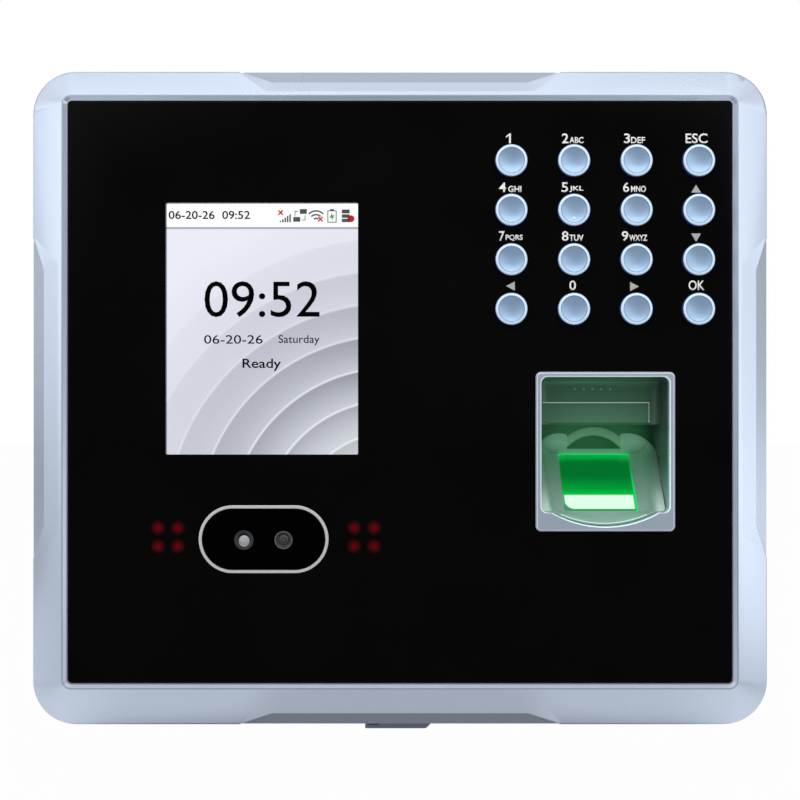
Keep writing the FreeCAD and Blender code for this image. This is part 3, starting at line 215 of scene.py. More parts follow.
def newMaterial(name, colour, roughness, metallic=0.0, specular=0.5, coat=0.0, coatRoughness=0.05):
    # its tree, with x, y and z of the object in millimetres as the place
    material = bpy.data.materials.new(name)
    material.use_nodes = True
    tree = Tree(material.node_tree)
    tree.material, tree.shader = material, material.node_tree.nodes["Principled BSDF"]
    tree.raw = tree.out("ShaderNodeTexCoord", which="Object")
    tree.place = [part * 1000 for part in tree.parts(tree.raw)]
    feed(tree, colour=colour, roughness=roughness, metallic=metallic, specular=specular, coat=coat,
         coatRoughness=coatRoughness)
    return tree


def addObject(name, data):
    thing = bpy.data.objects.new(name, data)
    bpy.context.scene.collection.objects.link(thing)
    return thing


view = {
    "distance": 300.0,  # from the front rim to the lens, mm
    "pixelsPerMm": 4.414,  # at the front rim
    "frame": 800,  # picture's side, pixels
    "centreZ": -0.45,  # height of the picture's centre, mm
    "rimY": -32.2,
}


def makeCamera():
    data = bpy.data.cameras.new("lookingStraightOn")
    data.sensor_width = 36.0
    data.lens = data.sensor_width * view["distance"] / (view["frame"] / view["pixelsPerMm"])
    data.clip_start, data.clip_end = 0.01, 20
    camera = addObject("lookingStraightOn", data)
    camera.location = Vector((0, view["rimY"] - view["distance"], view["centreZ"])) * mm
    camera.rotation_euler = (radians(90), 0, 0)
    bpy.context.scene.camera = camera


studio = {
    "front": 0.14,  # straight ahead, where the gloss panel looks
    "high": 0.95,  # ring of light about 45 degrees off that, above
    "sides": 0.80,  # the same ring to the left and right
    "low": 0.60,  # and below
    "edge": 0.41,  # square to the front
    "edgeRight": 0.14,
    "behind": 0.95,
    "leftPatch": 0.85,  # how much dimmer it is low on the left
    # where each of these starts, as a part of a direction, and how softly
    "highFrom": (0.25, 0.30), "lowFrom": (-0.45, 0.25), "rightFrom": (0.60, 0.30), "behindFrom": (0.30, 0.25),
    "leftFrom": (-0.40, 0.25), "leftUpTo": (-0.02, 0.03),
    "ringFrom": (0.28, 0.26), "frontFrom": (0.925, 0.04),
}


def makeWorld():
    k = studio
    world = bpy.data.worlds.new("studio")
    world.use_nodes = True
    bpy.context.scene.world = world
    tree = Tree(world.node_tree)
    background = world.node_tree.nodes["Background"]
    x, y, z = tree.parts(tree.out("ShaderNodeTexCoord", which="Generated"))
    ahead = y * -1
    ring = overlaid(k["sides"], (z.above(*k["highFrom"]), k["high"]), (z.below(*k["lowFrom"]), k["low"]))
    ring = ring * (1 - z.below(*k["leftUpTo"]) * x.below(*k["leftFrom"]) * k["leftPatch"])
    edge = overlaid(k["edge"], (x.above(*k["rightFrom"]), k["edgeRight"]))
    seen, through = tree.rays("Is Camera Ray", "Is Transmission Ray")
    level = overlaid(edge, (ahead.above(*k["ringFrom"]), ring), (ahead.above(*k["frontFrom"]), k["front"]),
                     (y.above(*k["behindFrom"]), k["behind"]), (seen + through, 1))
    tree.give(background.inputs["Strength"], level)
    tree.give(background.inputs["Color"], white)


lamps = {
    # place, aim and size in mm, strength in watts, colour
    "softboxAbove": ((0, -400, 380), (0, -20, 0), (900, 280), 1.00, white),
    "softboxLeft": ((-400, -330, 60), (0, -20, 0), (220, 320), 0.125, white),
    "softboxRight": ((400, -330, 60), (0, -20, 0), (220, 320), 0.105, white),
    "softboxBehind": ((0, 420, 260), (0, -10, -10), (800, 300), 0.70, white),
    "platenGlow": ((46.6, -24.6, -18.5), (46.6, -60, -6), (15, 14), 0.0012, (0.12, 1.0, 0.42)),
}


def makeLamp(name, where, aim, size, power, colour):
    data = bpy.data.lights.new(name, "AREA")
    data.shape = "RECTANGLE"
    data.size, data.size_y = size[0] * mm, size[1] * mm
    data.energy = power
    data.color = colour
    lamp = addObject(name, data)
    lamp.location = Vector(where) * mm
    lamp.rotation_euler = (Vector(aim) - Vector(where)).to_track_quat("-Z", "Y").to_euler()
    lamp.visible_camera = False


floorLook = {
    "drop": 17.0,  # mm below the terminal, so that the open cover has room
    "paper": srgb(148, 150, 154),
    "under": 0.15,  # what metal sees right under the terminal
    "close": 0.71,  # and a little before it
    "closeMiddle": 0.54,  # the same before the lower trough
    "closeCorner": 0.86,  # and before the lower corners
    "ahead": 0.11,  # what the gloss panel sees in front of it
    "beside": 1.25,  # what the sides see
    "left": 0.42,  # how much dimmer that is on the left
    "farLeft": 0.95,  # and further out there
    "rightNear": 0.55,  # how much dimmer it is close on the right
    "white": 0.98,  # how much of the camera's view is plain white
    "reach": 2500.0,  # half the floor's width, mm
    # where each part starts, mm, and how softly
    "closeEdge": (-85.0, 35.0), "middleHalf": (35.0, 4.0), "cornerFrom": (76.0, 10.0),
    "underEdge": (-43.0, 6.0), "underHalf": (78.0, 8.0),
    "besideEdge": (62.0, 40.0), "besideSlant": 1.1,
    "leftEdge": (-60.0, 60.0), "farLeftEdge": (-400.0, 60.0), "farLeftUpTo": (-120.0, 30.0),
    "rightEdge": (110.0, 60.0), "rightFrom": (-112.0, 30.0),
}


def makeFloor(bottom):
    k = floorLook
    mesh = bpy.data.meshes.new("floor")
    reach = k["reach"] * mm
    corners = [(-reach, -reach), (reach, -reach), (reach, reach), (-reach, reach)]
    mesh.from_pydata([(x, y, bottom) for x, y in corners], [], [(0, 1, 2, 3)])
    tree = newMaterial("palePaper", k["paper"], 0.85, specular=0.05)
    x, y, z = tree.place
    wide = x.size()
    close = overlaid(k["close"], (wide.above(*k["cornerFrom"]), k["closeCorner"]),
                     (wide.below(*k["middleHalf"]), k["closeMiddle"]))
    beside = k["beside"] * (1 - x.below(*k["leftEdge"]) * k["left"])
    beside = beside * (1 - x.below(*k["farLeftEdge"]) * y.below(*k["farLeftUpTo"]) * k["farLeft"])
    beside = beside * (1 - x.above(*k["rightEdge"]) * y.above(*k["rightFrom"]) * k["rightNear"])
    level = overlaid(k["ahead"], (y.above(*k["closeEdge"]), close),
                     (y.above(*k["underEdge"]) * wide.below(*k["underHalf"]), k["under"]),
                     ((wide + y * k["besideSlant"]).above(*k["besideEdge"]), beside))
    seen, mirrored, through = tree.rays("Is Camera Ray", "Is Glossy Ray", "Is Transmission Ray")
    colour = tree.blend(seen + through, level, white)
    glow = tree.out("ShaderNodeEmission", {"Color": colour, "Strength": 1.0})
    mixed = tree.out("ShaderNodeMixShader", {0: seen * k["white"] + mirrored + through,
                                             1: tree.shader.outputs[0], 2: glow})
    # seen from below, the floor is out of the way
    fromBelow = tree.out("ShaderNodeNewGeometry", which="Backfacing")
    gone = tree.out("ShaderNodeBsdfTransparent")
    mixed = tree.out("ShaderNodeMixShader", {0: fromBelow, 1: mixed, 2: gone})
    tree.give(tree.tree.nodes["Material Output"].inputs[0], mixed)
    mesh.materials.append(tree.material)
    addObject("floor", mesh)


makeCamera()
makeWorld()
for name, settings in lamps.items():
    makeLamp(name, *settings)
makeFloor(cadBox[0].z - floorLook["drop"] * mm)
bpy.context.scene.view_settings.view_transform = "Standard"
print("terminal: camera, lamps and floor made")


@contextmanager
def edited(mesh, source=None):
    # the mesh, or the source, as a bmesh that is written to the mesh at the end
    work = bmesh.new()
    work.from_mesh(source or mesh)
    yield work
    work.to_mesh(mesh)
    work.free()


def newPiece(name, mesh, body, material, stands=()):
    piece = addObject(name, mesh)
    mesh.materials.clear()
    mesh.materials.append(material)
    if body:
        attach(piece, body)
    if stands:
        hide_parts(*stands)
    return piece


welded = 2e-6  # metres, corners nearer than this are one
creaseLook = {
    "flat": 0.6,  # degrees, faces that turn less are joined
    "broad": 0.5,  # mm, a face narrower than this is part of a rounding
    "least": 2.0,  # degrees between the flats of a relief
    "alongMiddle": 42.0,  # mm, the reliefs lie this near the middle of each side
    "behindRim": -27.0,  # and in front of this plane
}


def onRelief(line):
    # the low creases between the case's slope, its four troughs and their facets
    k = creaseLook
    middle = (line.verts[0].co + line.verts[1].co) / 2 / mm
    if middle.y > k["behindRim"] or min(abs(middle.x), abs(middle.z)) > k["alongMiddle"]:
        return False
    return all(2 * face.calc_area() / face.calc_perimeter() / mm > k["broad"] for face in line.link_faces)


def softened(node, slot, material, edge=0.12, sharp=25.0, reliefs=False, zone=None):
    # the node's own shape: doubles merged, flats joined, keen edges rounded
    mesh = nodes[node].data.copy()
    with edited(mesh) as work:
        bmesh.ops.remove_doubles(work, verts=work.verts, dist=welded)
        bmesh.ops.dissolve_limit(work, angle_limit=radians(creaseLook["flat"]), verts=work.verts,
                                 edges=work.edges, delimit={"NORMAL"})
        weight = work.edges.layers.float.new("bevel_weight_edge")
        for face in work.faces:
            face.smooth = True
        for line in work.edges:
            turn = degrees(line.calc_face_angle(0.0))
            keen = turn > sharp or (reliefs and turn > creaseLook["least"] and onRelief(line))
            line.smooth = not keen
            line[weight] = float(keen)
    if "custom_normal" in mesh.attributes:
        mesh.attributes.remove(mesh.attributes["custom_normal"])
    mesh.materials.clear()
    mesh.materials.append(material)
    mesh.materials.append(material)  # the second place marks the rounded edges
    holder = addObject("holder", mesh)
    bevel = holder.modifiers.new("edges", "BEVEL")
    bevel.width = edge * mm
    bevel.segments = 2
    bevel.limit_method = "WEIGHT"
    bevel.material = 1
    bevel.harden_normals = True
    bevel.use_clamp_overlap = True
    finished = evaluated(holder)
    if zone:
        markEdges(finished, *zone)
    for face in finished.polygons:
        face.material_index = 0
    body = node if node in frame["bodies"] else "terminal"
    newPiece(node + "_finished", finished, body, material, (node,))


faceKinds = {
    "small": 0.5,  # square mm, the largest face of this kind
    "slanted": 0.96,  # a face this square to an axis, or more, isn't slanted
}


def markEdges(mesh, *boxes):
    # each face's share of caught light, from the boxes for its kind
    marks = mesh.attributes.new("catch", "FLOAT", "FACE")
    for face in mesh.polygons:
        kinds = set()
        if face.area < faceKinds["small"] * mm * mm:
            kinds |= {"small"}
        if max(abs(part) for part in face.normal) < faceKinds["slanted"]:
            kinds |= {"slanted"}
        if face.material_index == 1:
            kinds |= {"rounded", "slanted"}
        found = [share for kind, share, low, high in boxes
                 if kind in kinds and all(a <= c / mm <= b for a, c, b in zip(low, face.center, high))]
        marks.data[face.index].value = max(found, default=0.0)


def evaluated(holder):
    # the plain mesh of an object whose modifiers are live; the object goes
    bpy.context.view_layer.update()
    mesh = bpy.data.meshes.new_from_object(holder.evaluated_get(bpy.context.evaluated_depsgraph_get()))
    bpy.data.objects.remove(holder)
    return mesh


casePaint = {
    # edge and the last number: how much painted highlight the caught edges take, and how bright a painted
    # glow they give
    "silverPaint": {"colour": srgb(219, 232, 252), "roughness": 0.26, "metal": 0.70, "flake": 0.05,
                    "edge": 0.55, "paintedGlow": 0.0},
    "trimPaint": {"colour": srgb(186, 200, 218), "roughness": 0.36, "metal": 0.22, "flake": 0.03,
                  "edge": 0.95, "paintedGlow": 0.34},
    "caught": srgb(240, 248, 255),  # painted highlight along edges that catch the light
    "flakeGrain": 0.12, "cloudGrain": 38.0, "cloudDim": 0.95,
    "coat": (0.25, 0.12),  # weight and roughness of the clear coat
}


def makeCasePaint(name):
    k = casePaint[name]
    tree = newMaterial(name, k["colour"], k["roughness"], k["metal"], 0.5, *casePaint["coat"])
    flake = tree.noise(casePaint["flakeGrain"], 1.0)
    cloud = tree.noise(casePaint["cloudGrain"], 2.0)
    caught = tree.mark("catch")
    tone = tree.blend(flake * 0.5 + cloud * 0.5, dimmed(k["colour"], casePaint["cloudDim"]), k["colour"])
    # painted highlight: faces marked as catching the light turn near-white and less metallic
    feed(tree, colour=tree.blend(caught * k["edge"], tone, casePaint["caught"]),
         metallic=k["metal"] * (1 - caught * k["edge"]),
         roughness=k["roughness"] - 0.05 + cloud * 0.06 + flake * 0.04,
         normal=tree.bump(flake, k["flake"], 0.02))
    # a painted glow on the same edges, where the paint has any
    if k["paintedGlow"]:
        feed(tree, glow=tree.blend(caught, unlit, dimmed(casePaint["caught"], k["paintedGlow"])))
    return tree.material


panelLook = {
    "colour": srgb(17, 17, 18),
    "ledColumns": (-55.0, -50.5, -10.4, -5.9),
    "ledRows": (-29.5, -33.7),
    "ledReach": 1.62,  # mm, where the glow has died away
    "ledFade": (0.52, 0.66),  # where along that it is half as bright, and how softly it goes
    "ledColour": (0.115, 0.0, 0.002),
    "front": (-31.0, 0.1),  # only the face before this y shows it
    "haze": (srgb(2, 2, 3), srgb(10, 10, 11)), "hazeGrain": 26.0,
}


def makePanelBlack():
    # lacquer with a faint haze, through which the lamps behind it show
    k = panelLook
    tree = newMaterial("glossBlack", k["colour"], 0.07, specular=0.12)
    x, y, z = tree.place
    glow = None
    for column in k["ledColumns"]:
        for row in k["ledRows"]:
            away = apart(x - column, z - row) / k["ledReach"]
            spot = away.below(*k["ledFade"])
            glow = spot if glow is None else glow + spot
    haze = tree.noise(k["hazeGrain"], 3.0)
    feed(tree, glow=tree.blend(glow * y.below(*k["front"]), unlit, k["ledColour"]),
         roughness=0.05 + haze * 0.06, colour=tree.blend(haze, *k["haze"]))
    return tree.material


def makePlain(name, colour, roughness=0.5, metallic=0.0, grain=0.4, spread=0.12, relief=0.04,
              specular=0.5):
    # moulded or coated surface with a fine grain in colour, roughness and relief
    tree = newMaterial(name, colour, roughness, metallic, specular)
    fine = tree.noise(grain, 4.0)
    broad = tree.noise(grain * 45, 2.0)
    light = tuple(min(1.0, c * (1 + spread * 0.6)) for c in colour)
    feed(tree, colour=tree.blend(fine * 0.4 + broad * 0.6, dimmed(colour, 1 - spread), light),
         roughness=roughness - 0.05 + fine * 0.10 + broad * 0.04,
         normal=tree.bump(fine, relief * 5, grain * 0.2))
    return tree.material


wellLook = {
    "wellPlastic": srgb(112, 134, 134), "saddlePlastic": srgb(122, 152, 144),
    # each limit is a place in mm and how softly the tone changes there
    "deep": srgb(76, 148, 100), "deepFrom": (-22.5, 4.5),  # painted green light and shade: greener and darker deeper in, by y
    "low": srgb(158, 192, 180), "lowFrom": (-21.0, 9.0),  # painted light: paler towards the sill, by z
    "side": srgb(48, 64, 62), "sideFrom": (59.2, 2.0), "sideAbove": (-19.5, 6.0),  # painted shade on the right wall
    # painted highlight on edges that catch the light, with a faint painted glow
    "caught": srgb(206, 240, 222), "paintedGlow": 0.25,
    "middle": (46.65, -13.0),  # x and z of the fingertip's niche
    "soaked": (0.004, 0.040, 0.012),  # painted glow for light that comes through the plastic round it
    "soakReach": (12.5, 6.0), "soakDepth": (-17.5, 3.0),
    # painted glow at the glass's foot, along the brow over the niche and on the saddle's shoulders
    "footLight": (0.044, 0.190, 0.090), "footReach": (7.5, 3.0),
    "browZ": -17.27, "browRadius": 9.27, "browWidth": (1.0, 0.3),
    "browAbove": (-12.2, 0.6), "browDepth": (-12.15, 0.15), "browLight": (0.062, 0.140, 0.090),
    "shoulder": (0.080, 0.175, 0.120), "shoulderFrom": (-12.3, 2.2),
    "shoulderInner": (6.2, 0.4), "shoulderOuter": (12.0, 3.0),
    # painted highlight: pale streaks with a faint painted glow down the saddle's flanks
    "flank": srgb(206, 228, 222), "flankLight": (0.05, 0.07, 0.065),
    "flankFrom": (12.3, 0.9), "flankBelow": (-22.6, 3.4),
}


def makeWellPlastic(name, soak, pale):
    # soak and pale: its shares of the painted deep green light and shade, and of the painted paler lower tone
    k = wellLook
    tree = newMaterial(name, k[name], 0.36)
    x, y, z = tree.place
    fine = tree.noise(0.25, 3.0)
    broad = tree.noise(9.0, 2.0)
    mottle = fine * 0.4 + broad * 0.6
    # painted light and shade: greener and darker deeper in, darker on the right wall, paler towards the sill
    tone = tree.layers(k[name], (mottle * 0.25, dimmed(k[name], 0.8)),
                       (y.above(*k["deepFrom"]) * soak, k["deep"]),
                       (x.above(*k["sideFrom"]) * z.above(*k["sideAbove"]) * soak, k["side"]),
                       (z.below(*k["lowFrom"]) * pale, k["low"]))
    # painted glow: light from the glass soaks the plastic round the fingertip's niche
    middleX, middleZ = k["middle"]
    off = (x - middleX).size()
    away = apart(off, z - middleZ)
    near = away.below(*k["soakReach"]) * y.above(*k["soakDepth"])
    glow = tree.blend(near, unlit, k["soaked"])
    if name == "saddlePlastic":
        # painted glow at the foot and on the shoulders
        foot = away.below(*k["footReach"]) * y.above(*k["soakDepth"])
        flank = off.above(*k["flankFrom"]) * z.below(*k["flankBelow"])
        shoulder = off.above(*k["shoulderInner"]) * off.below(*k["shoulderOuter"])
        shoulder = z.above(*k["shoulderFrom"]) * shoulder
        # painted highlight streaks down the flanks
        tone = tree.blend(flank, tone, k["flank"])
        glow = tree.layers(glow, (foot, k["footLight"]), (flank, k["flankLight"]), (shoulder, k["shoulder"]))
    else:
        # painted glow along the brow over the niche
        brow = (apart(off, z - k["browZ"]) - k["browRadius"]).size().below(*k["browWidth"])
        brow = brow * z.above(*k["browAbove"]) * y.below(*k["browDepth"])
        glow = tree.blend(brow, glow, k["browLight"])
    caught = tree.mark("catch")
    # painted highlight and painted glow on the edges marked as catching the light
    feed(tree, colour=tree.blend(caught * 0.9, tone, k["caught"]),
         glow=tree.blend(caught, glow, dimmed(k["caught"], k["paintedGlow"])),
         roughness=0.30 + mottle * 0.12, normal=tree.bump(fine, 0.1, 0.05))
    return tree.material


keyPaint = {
    "dish": (srgb(145, 175, 206), srgb(167, 195, 222)),  # dark and light of the dish
    # painted glow that brightens the dish
    "dishPaintedGlow": (0.060, 0.085, 0.140),
    "rim": (srgb(210, 234, 254), srgb(224, 244, 255)),  # and of the ring round it
    "rimPaintedGlow": (0.115, 0.180, 0.250),  # painted glow that brightens the ring
    "front": (-32.0, 0.2),  # the ring's paint is only before this y
    "line": srgb(66, 94, 126),
    "lineRadius": 2.93, "lineWidth": (0.07, 0.04),  # painted shade in the groove between them, mm
    "fringe": srgb(84, 104, 160), "fringeFrom": (3.55, 0.05), # painted shade on the outer edge
}


def makeKeyPaint():
    k = keyPaint
    tree = newMaterial("keyPaint", k["dish"][1], 0.30, 0.55, coat=0.3, coatRoughness=0.08)
    x, y, z = tree.place
    reach = tree.mark("reach")  # mm off the key's axis
    grain = tree.noise(0.16, 2.0, 0.7)
    wear = tree.noise(2.6, 3.0)
    mottle = grain * 0.5 + wear * 0.5
    rim = reach.above(k["lineRadius"], 0.05) * y.below(*k["front"])
    # painted shade along the groove between dish and ring
    line = (reach - k["lineRadius"]).size().below(*k["lineWidth"])
    dishTone, rimTone = [tree.blend(mottle, *k[part]) for part in ("dish", "rim")]
    # painted shade on the key's outer edge, past the ring
    outside = reach.above(*k["fringeFrom"])
    tone = tree.blend(outside, tree.blend(rim, dishTone, rimTone), k["fringe"])
    # painted glow on dish and ring, none past the ring
    paintedGlow = tree.blend(rim, k["dishPaintedGlow"], k["rimPaintedGlow"])
    feed(tree, colour=tree.blend(line, tone, k["line"]), metallic=0.55 - rim * 0.47,
         glow=tree.blend(outside, paintedGlow, unlit),
         roughness=0.26 + grain * 0.10 + wear * 0.06 + rim * 0.06, normal=tree.bump(grain, 0.10, 0.02))
    return tree.material


platenLook = {
    "low": (-26.3, -25.7),  # y and z of the glass's lower edge, mm
    "high": (-13.2, -13.2),
    "middle": 46.65, "half": 8.5,
    "lit": (0.245, 0.015),  # share of the slope that the white band takes, and its soft edge
    "litFoot": (0.22, 0.10),  # mm of green below the band
    "corner": 2.3,  # radius of the glass's lower left corner
    "edge": 0.55,  # width of its bright right edge
    "edgeUpTo": (0.60, 0.40), # share of the slope where that edge has faded
    "slope": [  # colours up the slope
        (0.0, srgb(0, 160, 70)), (0.25, srgb(0, 200, 74)), (0.34, srgb(0, 160, 52)),
        (0.58, srgb(0, 106, 38)), (0.84, srgb(0, 110, 40)), (0.90, srgb(0, 160, 56)),
        (0.955, srgb(0, 176, 70)), (1.0, srgb(60, 240, 140)),
    ],
    "streak": srgb(0, 80, 28), "white": srgb(224, 255, 234), "bright": srgb(10, 214, 110),
    "outside": srgb(84, 128, 110),
}


def makePlatenGlow():
    # green light that comes up through the glass, with a white band along its foot
    k = platenLook
    tree = newMaterial("litGlass", srgb(0, 60, 22), 0.04, specular=0.4)
    x, y, z = tree.place
    (y0, z0), (y1, z1) = k["low"], k["high"]
    long = hypot(y1 - y0, z1 - z0)
    climb = (y - y0) * ((y1 - y0) / long) + (z - z0) * ((z1 - z0) / long)  # mm up the slope
    up = climb / long
    fromLeft = x - (k["middle"] - k["half"])
    fromRight = 2 * k["half"] - fromLeft
    ramp = tree.add("ShaderNodeValToRGB", {0: up})
    stops = ramp.color_ramp.elements
    while len(stops) < len(k["slope"]):
        stops.new(0.5)
    for stop, (where, colour) in zip(stops, k["slope"]):
        stop.position, stop.color = where, (*colour, 1)
    # the corner's round: how far a point lies outside the circle that fills it
    r = k["corner"]
    fromRound = apart((r - fromLeft).atLeast(0.0), (r - climb).atLeast(0.0))
    inside = fromRound.below(r - 0.2, 0.12)
    band = up.below(*k["lit"]) * climb.above(*k["litFoot"]) * inside * fromRight.above(k["edge"] + 0.25, 0.2)
    edge = fromRight.below(k["edge"], 0.15) * up.below(*k["edgeUpTo"])
    feed(tree, glow=tree.layers(ramp.outputs[0], (tree.noise(9.0, 2.0) * 0.25, k["streak"]),
                                (edge, k["bright"]), (fromRound.above(r + 0.1, 0.1), k["outside"]),
                                (band, k["white"])))
    return tree.material


lensLook = {
    "left": (-35.5, -32.3), "right": (-26.5, -32.3),  # x and z of each lens, mm
    "spot": (1.24, 0.05), "spotDrop": 0.22,  # painted reflection: bright disc in the left one
    "shade": (1.42, 0.08),  # painted shade: dark rim that shows above the disc
    "band": 1.72,  # inner edge of the right one's pale ring
    "curls": [(0.62, 0.14, 0.10), (1.15, 0.08, 0.08)],  # its dark rings: radius, half width, softness
    # greys: the left one's nose, rim and disc; the right one's glass, curls, gap and ring
    "nose": srgb(62, 63, 66), "rim": srgb(16, 16, 18), "disc": srgb(192, 194, 198),
    "glass": (srgb(66, 66, 68), srgb(84, 84, 86)), "curl": srgb(48, 48, 50), "gap": srgb(52, 52, 54),
    "ring": srgb(98, 98, 101),
}


def makeLens():
    # coated glass in its moulded nose: rings by the distance to each lens's own axis
    k = lensLook
    tree = newMaterial("coatedLens", srgb(50, 50, 52), 0.30, specular=0.3)
    x, y, z = tree.place
    (lx, lz), (rx, rz) = k["left"], k["right"]
    stir = tree.noise(1.1, 3.0, 0.6)
    toLeft = apart(x - lx, z - lz)
    toSpot = apart(x - lx, z - lz + k["spotDrop"])
    toRight = apart(x - rx, z - rz) + stir * 0.25 - 0.12
    # left lens: a painted reflection, a bright disc set low, with painted shade showing above it
    left = tree.layers(k["nose"], (toLeft.below(*k["shade"]), k["rim"]),
                       (toSpot.below(*k["spot"]), k["disc"]))
    inner, outer = [(toRight - radius).size().below(half, soft) for radius, half, soft in k["curls"]]
    right = tree.layers(tree.blend(stir, *k["glass"]), ((inner + outer) * 0.7, k["curl"]),
                        (toRight.above(k["band"] - 0.1, 0.06), k["gap"]),
                        (toRight.above(k["band"], 0.06), k["ring"]))
    feed(tree, colour=tree.blend(x.above((lx + rx) / 2, 0.1), left, right),
         roughness=0.28 + stir * 0.1)
    return tree.material


ringLook = {
    "trim": srgb(238, 238, 240), "inside": srgb(10, 10, 11),
    "centre": (-31.0, -32.1), "straight": 7.05,  # middle and half the straight length, mm
    "bright": (7.03, 7.69),  # the bright line's inner and outer edge
}


def makeRingTrim():
    # bright line round the camera's window, with a black inner slope
    k = ringLook
    tree = newMaterial("brightTrim", k["trim"], 0.34, 0.30)
    x, y, z = tree.place
    cx, cz = k["centre"]
    off = (x - cx).size() - k["straight"]
    across = apart(off.atLeast(0.0), z - cz)
    bright = across.above(k["bright"][0], 0.06) * across.below(k["bright"][1], 0.06)
    grain = tree.noise(0.3, 3.0)
    feed(tree, colour=tree.blend(bright, k["inside"], k["trim"]), metallic=bright * 0.3,
         roughness=0.28 + grain * 0.1)
    return tree.material


def makeClear(name, alpha, roughness):
    # pane that lets nearly all light through, with a faint smear
    tree = newMaterial(name, (0.02, 0.02, 0.022), roughness, specular=0.25)
    smear = tree.noise(14.0, 3.0)
    feed(tree, alpha=alpha + smear * alpha * 0.4, roughness=roughness + smear * 0.05)
    return tree.material


def makeBoard():
    # solder mask with paler copper runs under it and tinned pads
    tree = newMaterial("solderMask", srgb(22, 92, 52), 0.35, coat=0.3, coatRoughness=0.1)
    run = tree.number("ShaderNodeTexBrick", {
        "Vector": tree.raw, "Scale": 1000.0 / 4.0, "Color1": unlit, "Color2": white, "Mortar": white,
        "Mortar Size": 0.025, "Bias": -0.6}, offset=0.37, squash=1.6)
    grain = tree.noise(1.4, 3.0)
    tone = tree.blend(run * 0.7, srgb(16, 70, 40), srgb(44, 128, 74))
    feed(tree, colour=tone, roughness=0.30 + grain * 0.12, normal=tree.bump(run, 0.25, 0.04))
    return tree.material


def makeSteel(name, shades, roughness, spangle):
    # zinc coat: shades are its dark and light, spangle the width of its crystals in mm
    tree = newMaterial(name, shades[1], roughness, 0.9)
    cell = tree.number("ShaderNodeTexVoronoi", {"Vector": tree.raw, "Scale": 1000 / spangle})
    scratch = tree.noise(0.5, 5.0)
    tone = tree.blend(cell, *shades)
    feed(tree, colour=tone, roughness=roughness + cell * 0.14 + scratch * 0.05,
         normal=tree.bump(scratch, 0.08, 0.03))
    return tree.material


screenLook = {
    "left": -55.0, "right": -8.0, "top": 46.0, "bottom": -14.6,  # mm
    "barZ": 39.1,  # lower edge of the white bar
    "centre": (-2.0, -30.0),  # middle of the rings, beyond the lower right corner
    "ring": 7.4,  # width of one ring, mm
    "ringEdge": ((0.955, 0.03), (0.02, 0.02)),  # its bright edge, as shares of that width
    "ringsUpTo": (54.0, 24.0), "heartUpTo": (26.0, 16.0), # how far the rings and their pale heart reach
    "fadeFrom": -53.3, "fadeOver": 43.7,  # the rings grow darker to the right, mm
    "pale": srgb(232, 234, 246), "mid": srgb(192, 195, 206), "dark": srgb(104, 107, 116),
    "heart": srgb(232, 235, 242), "edge": srgb(238, 239, 246), "rule": srgb(168, 169, 172),
    "bar": srgb(253, 253, 253), "strength": 1.1,
}


def makeScreenPicture():
    # soft rings round a point beyond the lower right corner, under a white bar
    k = screenLook
    tree = newMaterial("litScreen", unlit, 0.25, specular=0.1)
    x, y, z = tree.place
    cx, cz = k["centre"]
    away = apart(x - cx, z - cz)
    step = (away / k["ring"]).part()
    outerEdge, innerEdge = k["ringEdge"]
    edge = step.above(*outerEdge) + step.below(*innerEdge)
    rightward = ((x - k["fadeFrom"]) / k["fadeOver"]).atMost(1.0)
    near = away.below(*k["ringsUpTo"])
    bar = z.above(k["barZ"], 0.05)
    line = z.above(k["barZ"] - 0.45, 0.04) * (1 - bar)
    feed(tree, strength=k["strength"], glow=tree.layers(
        k["pale"], (near, k["mid"]), (step * 0.75 * near * (rightward * 0.6 + 0.4), k["dark"]),
        (away.below(*k["heartUpTo"]) * 0.6, k["heart"]), (edge * near * 0.8, k["edge"]),
        (line, k["rule"]), (bar, k["bar"])))
    return tree.material


def makeInk(name, colour, glow=0.0, specular=0.2):
    # slightly patchy ink, which may give some light of its own
    tree = newMaterial(name, colour, 0.5, specular=specular)
    patch = tree.noise(0.5, 2.0)
    tone = tree.blend(patch, dimmed(colour, 0.85), colour)
    feed(tree, colour=tone)
    if glow:
        feed(tree, glow=tone, strength=glow)
    return tree.material


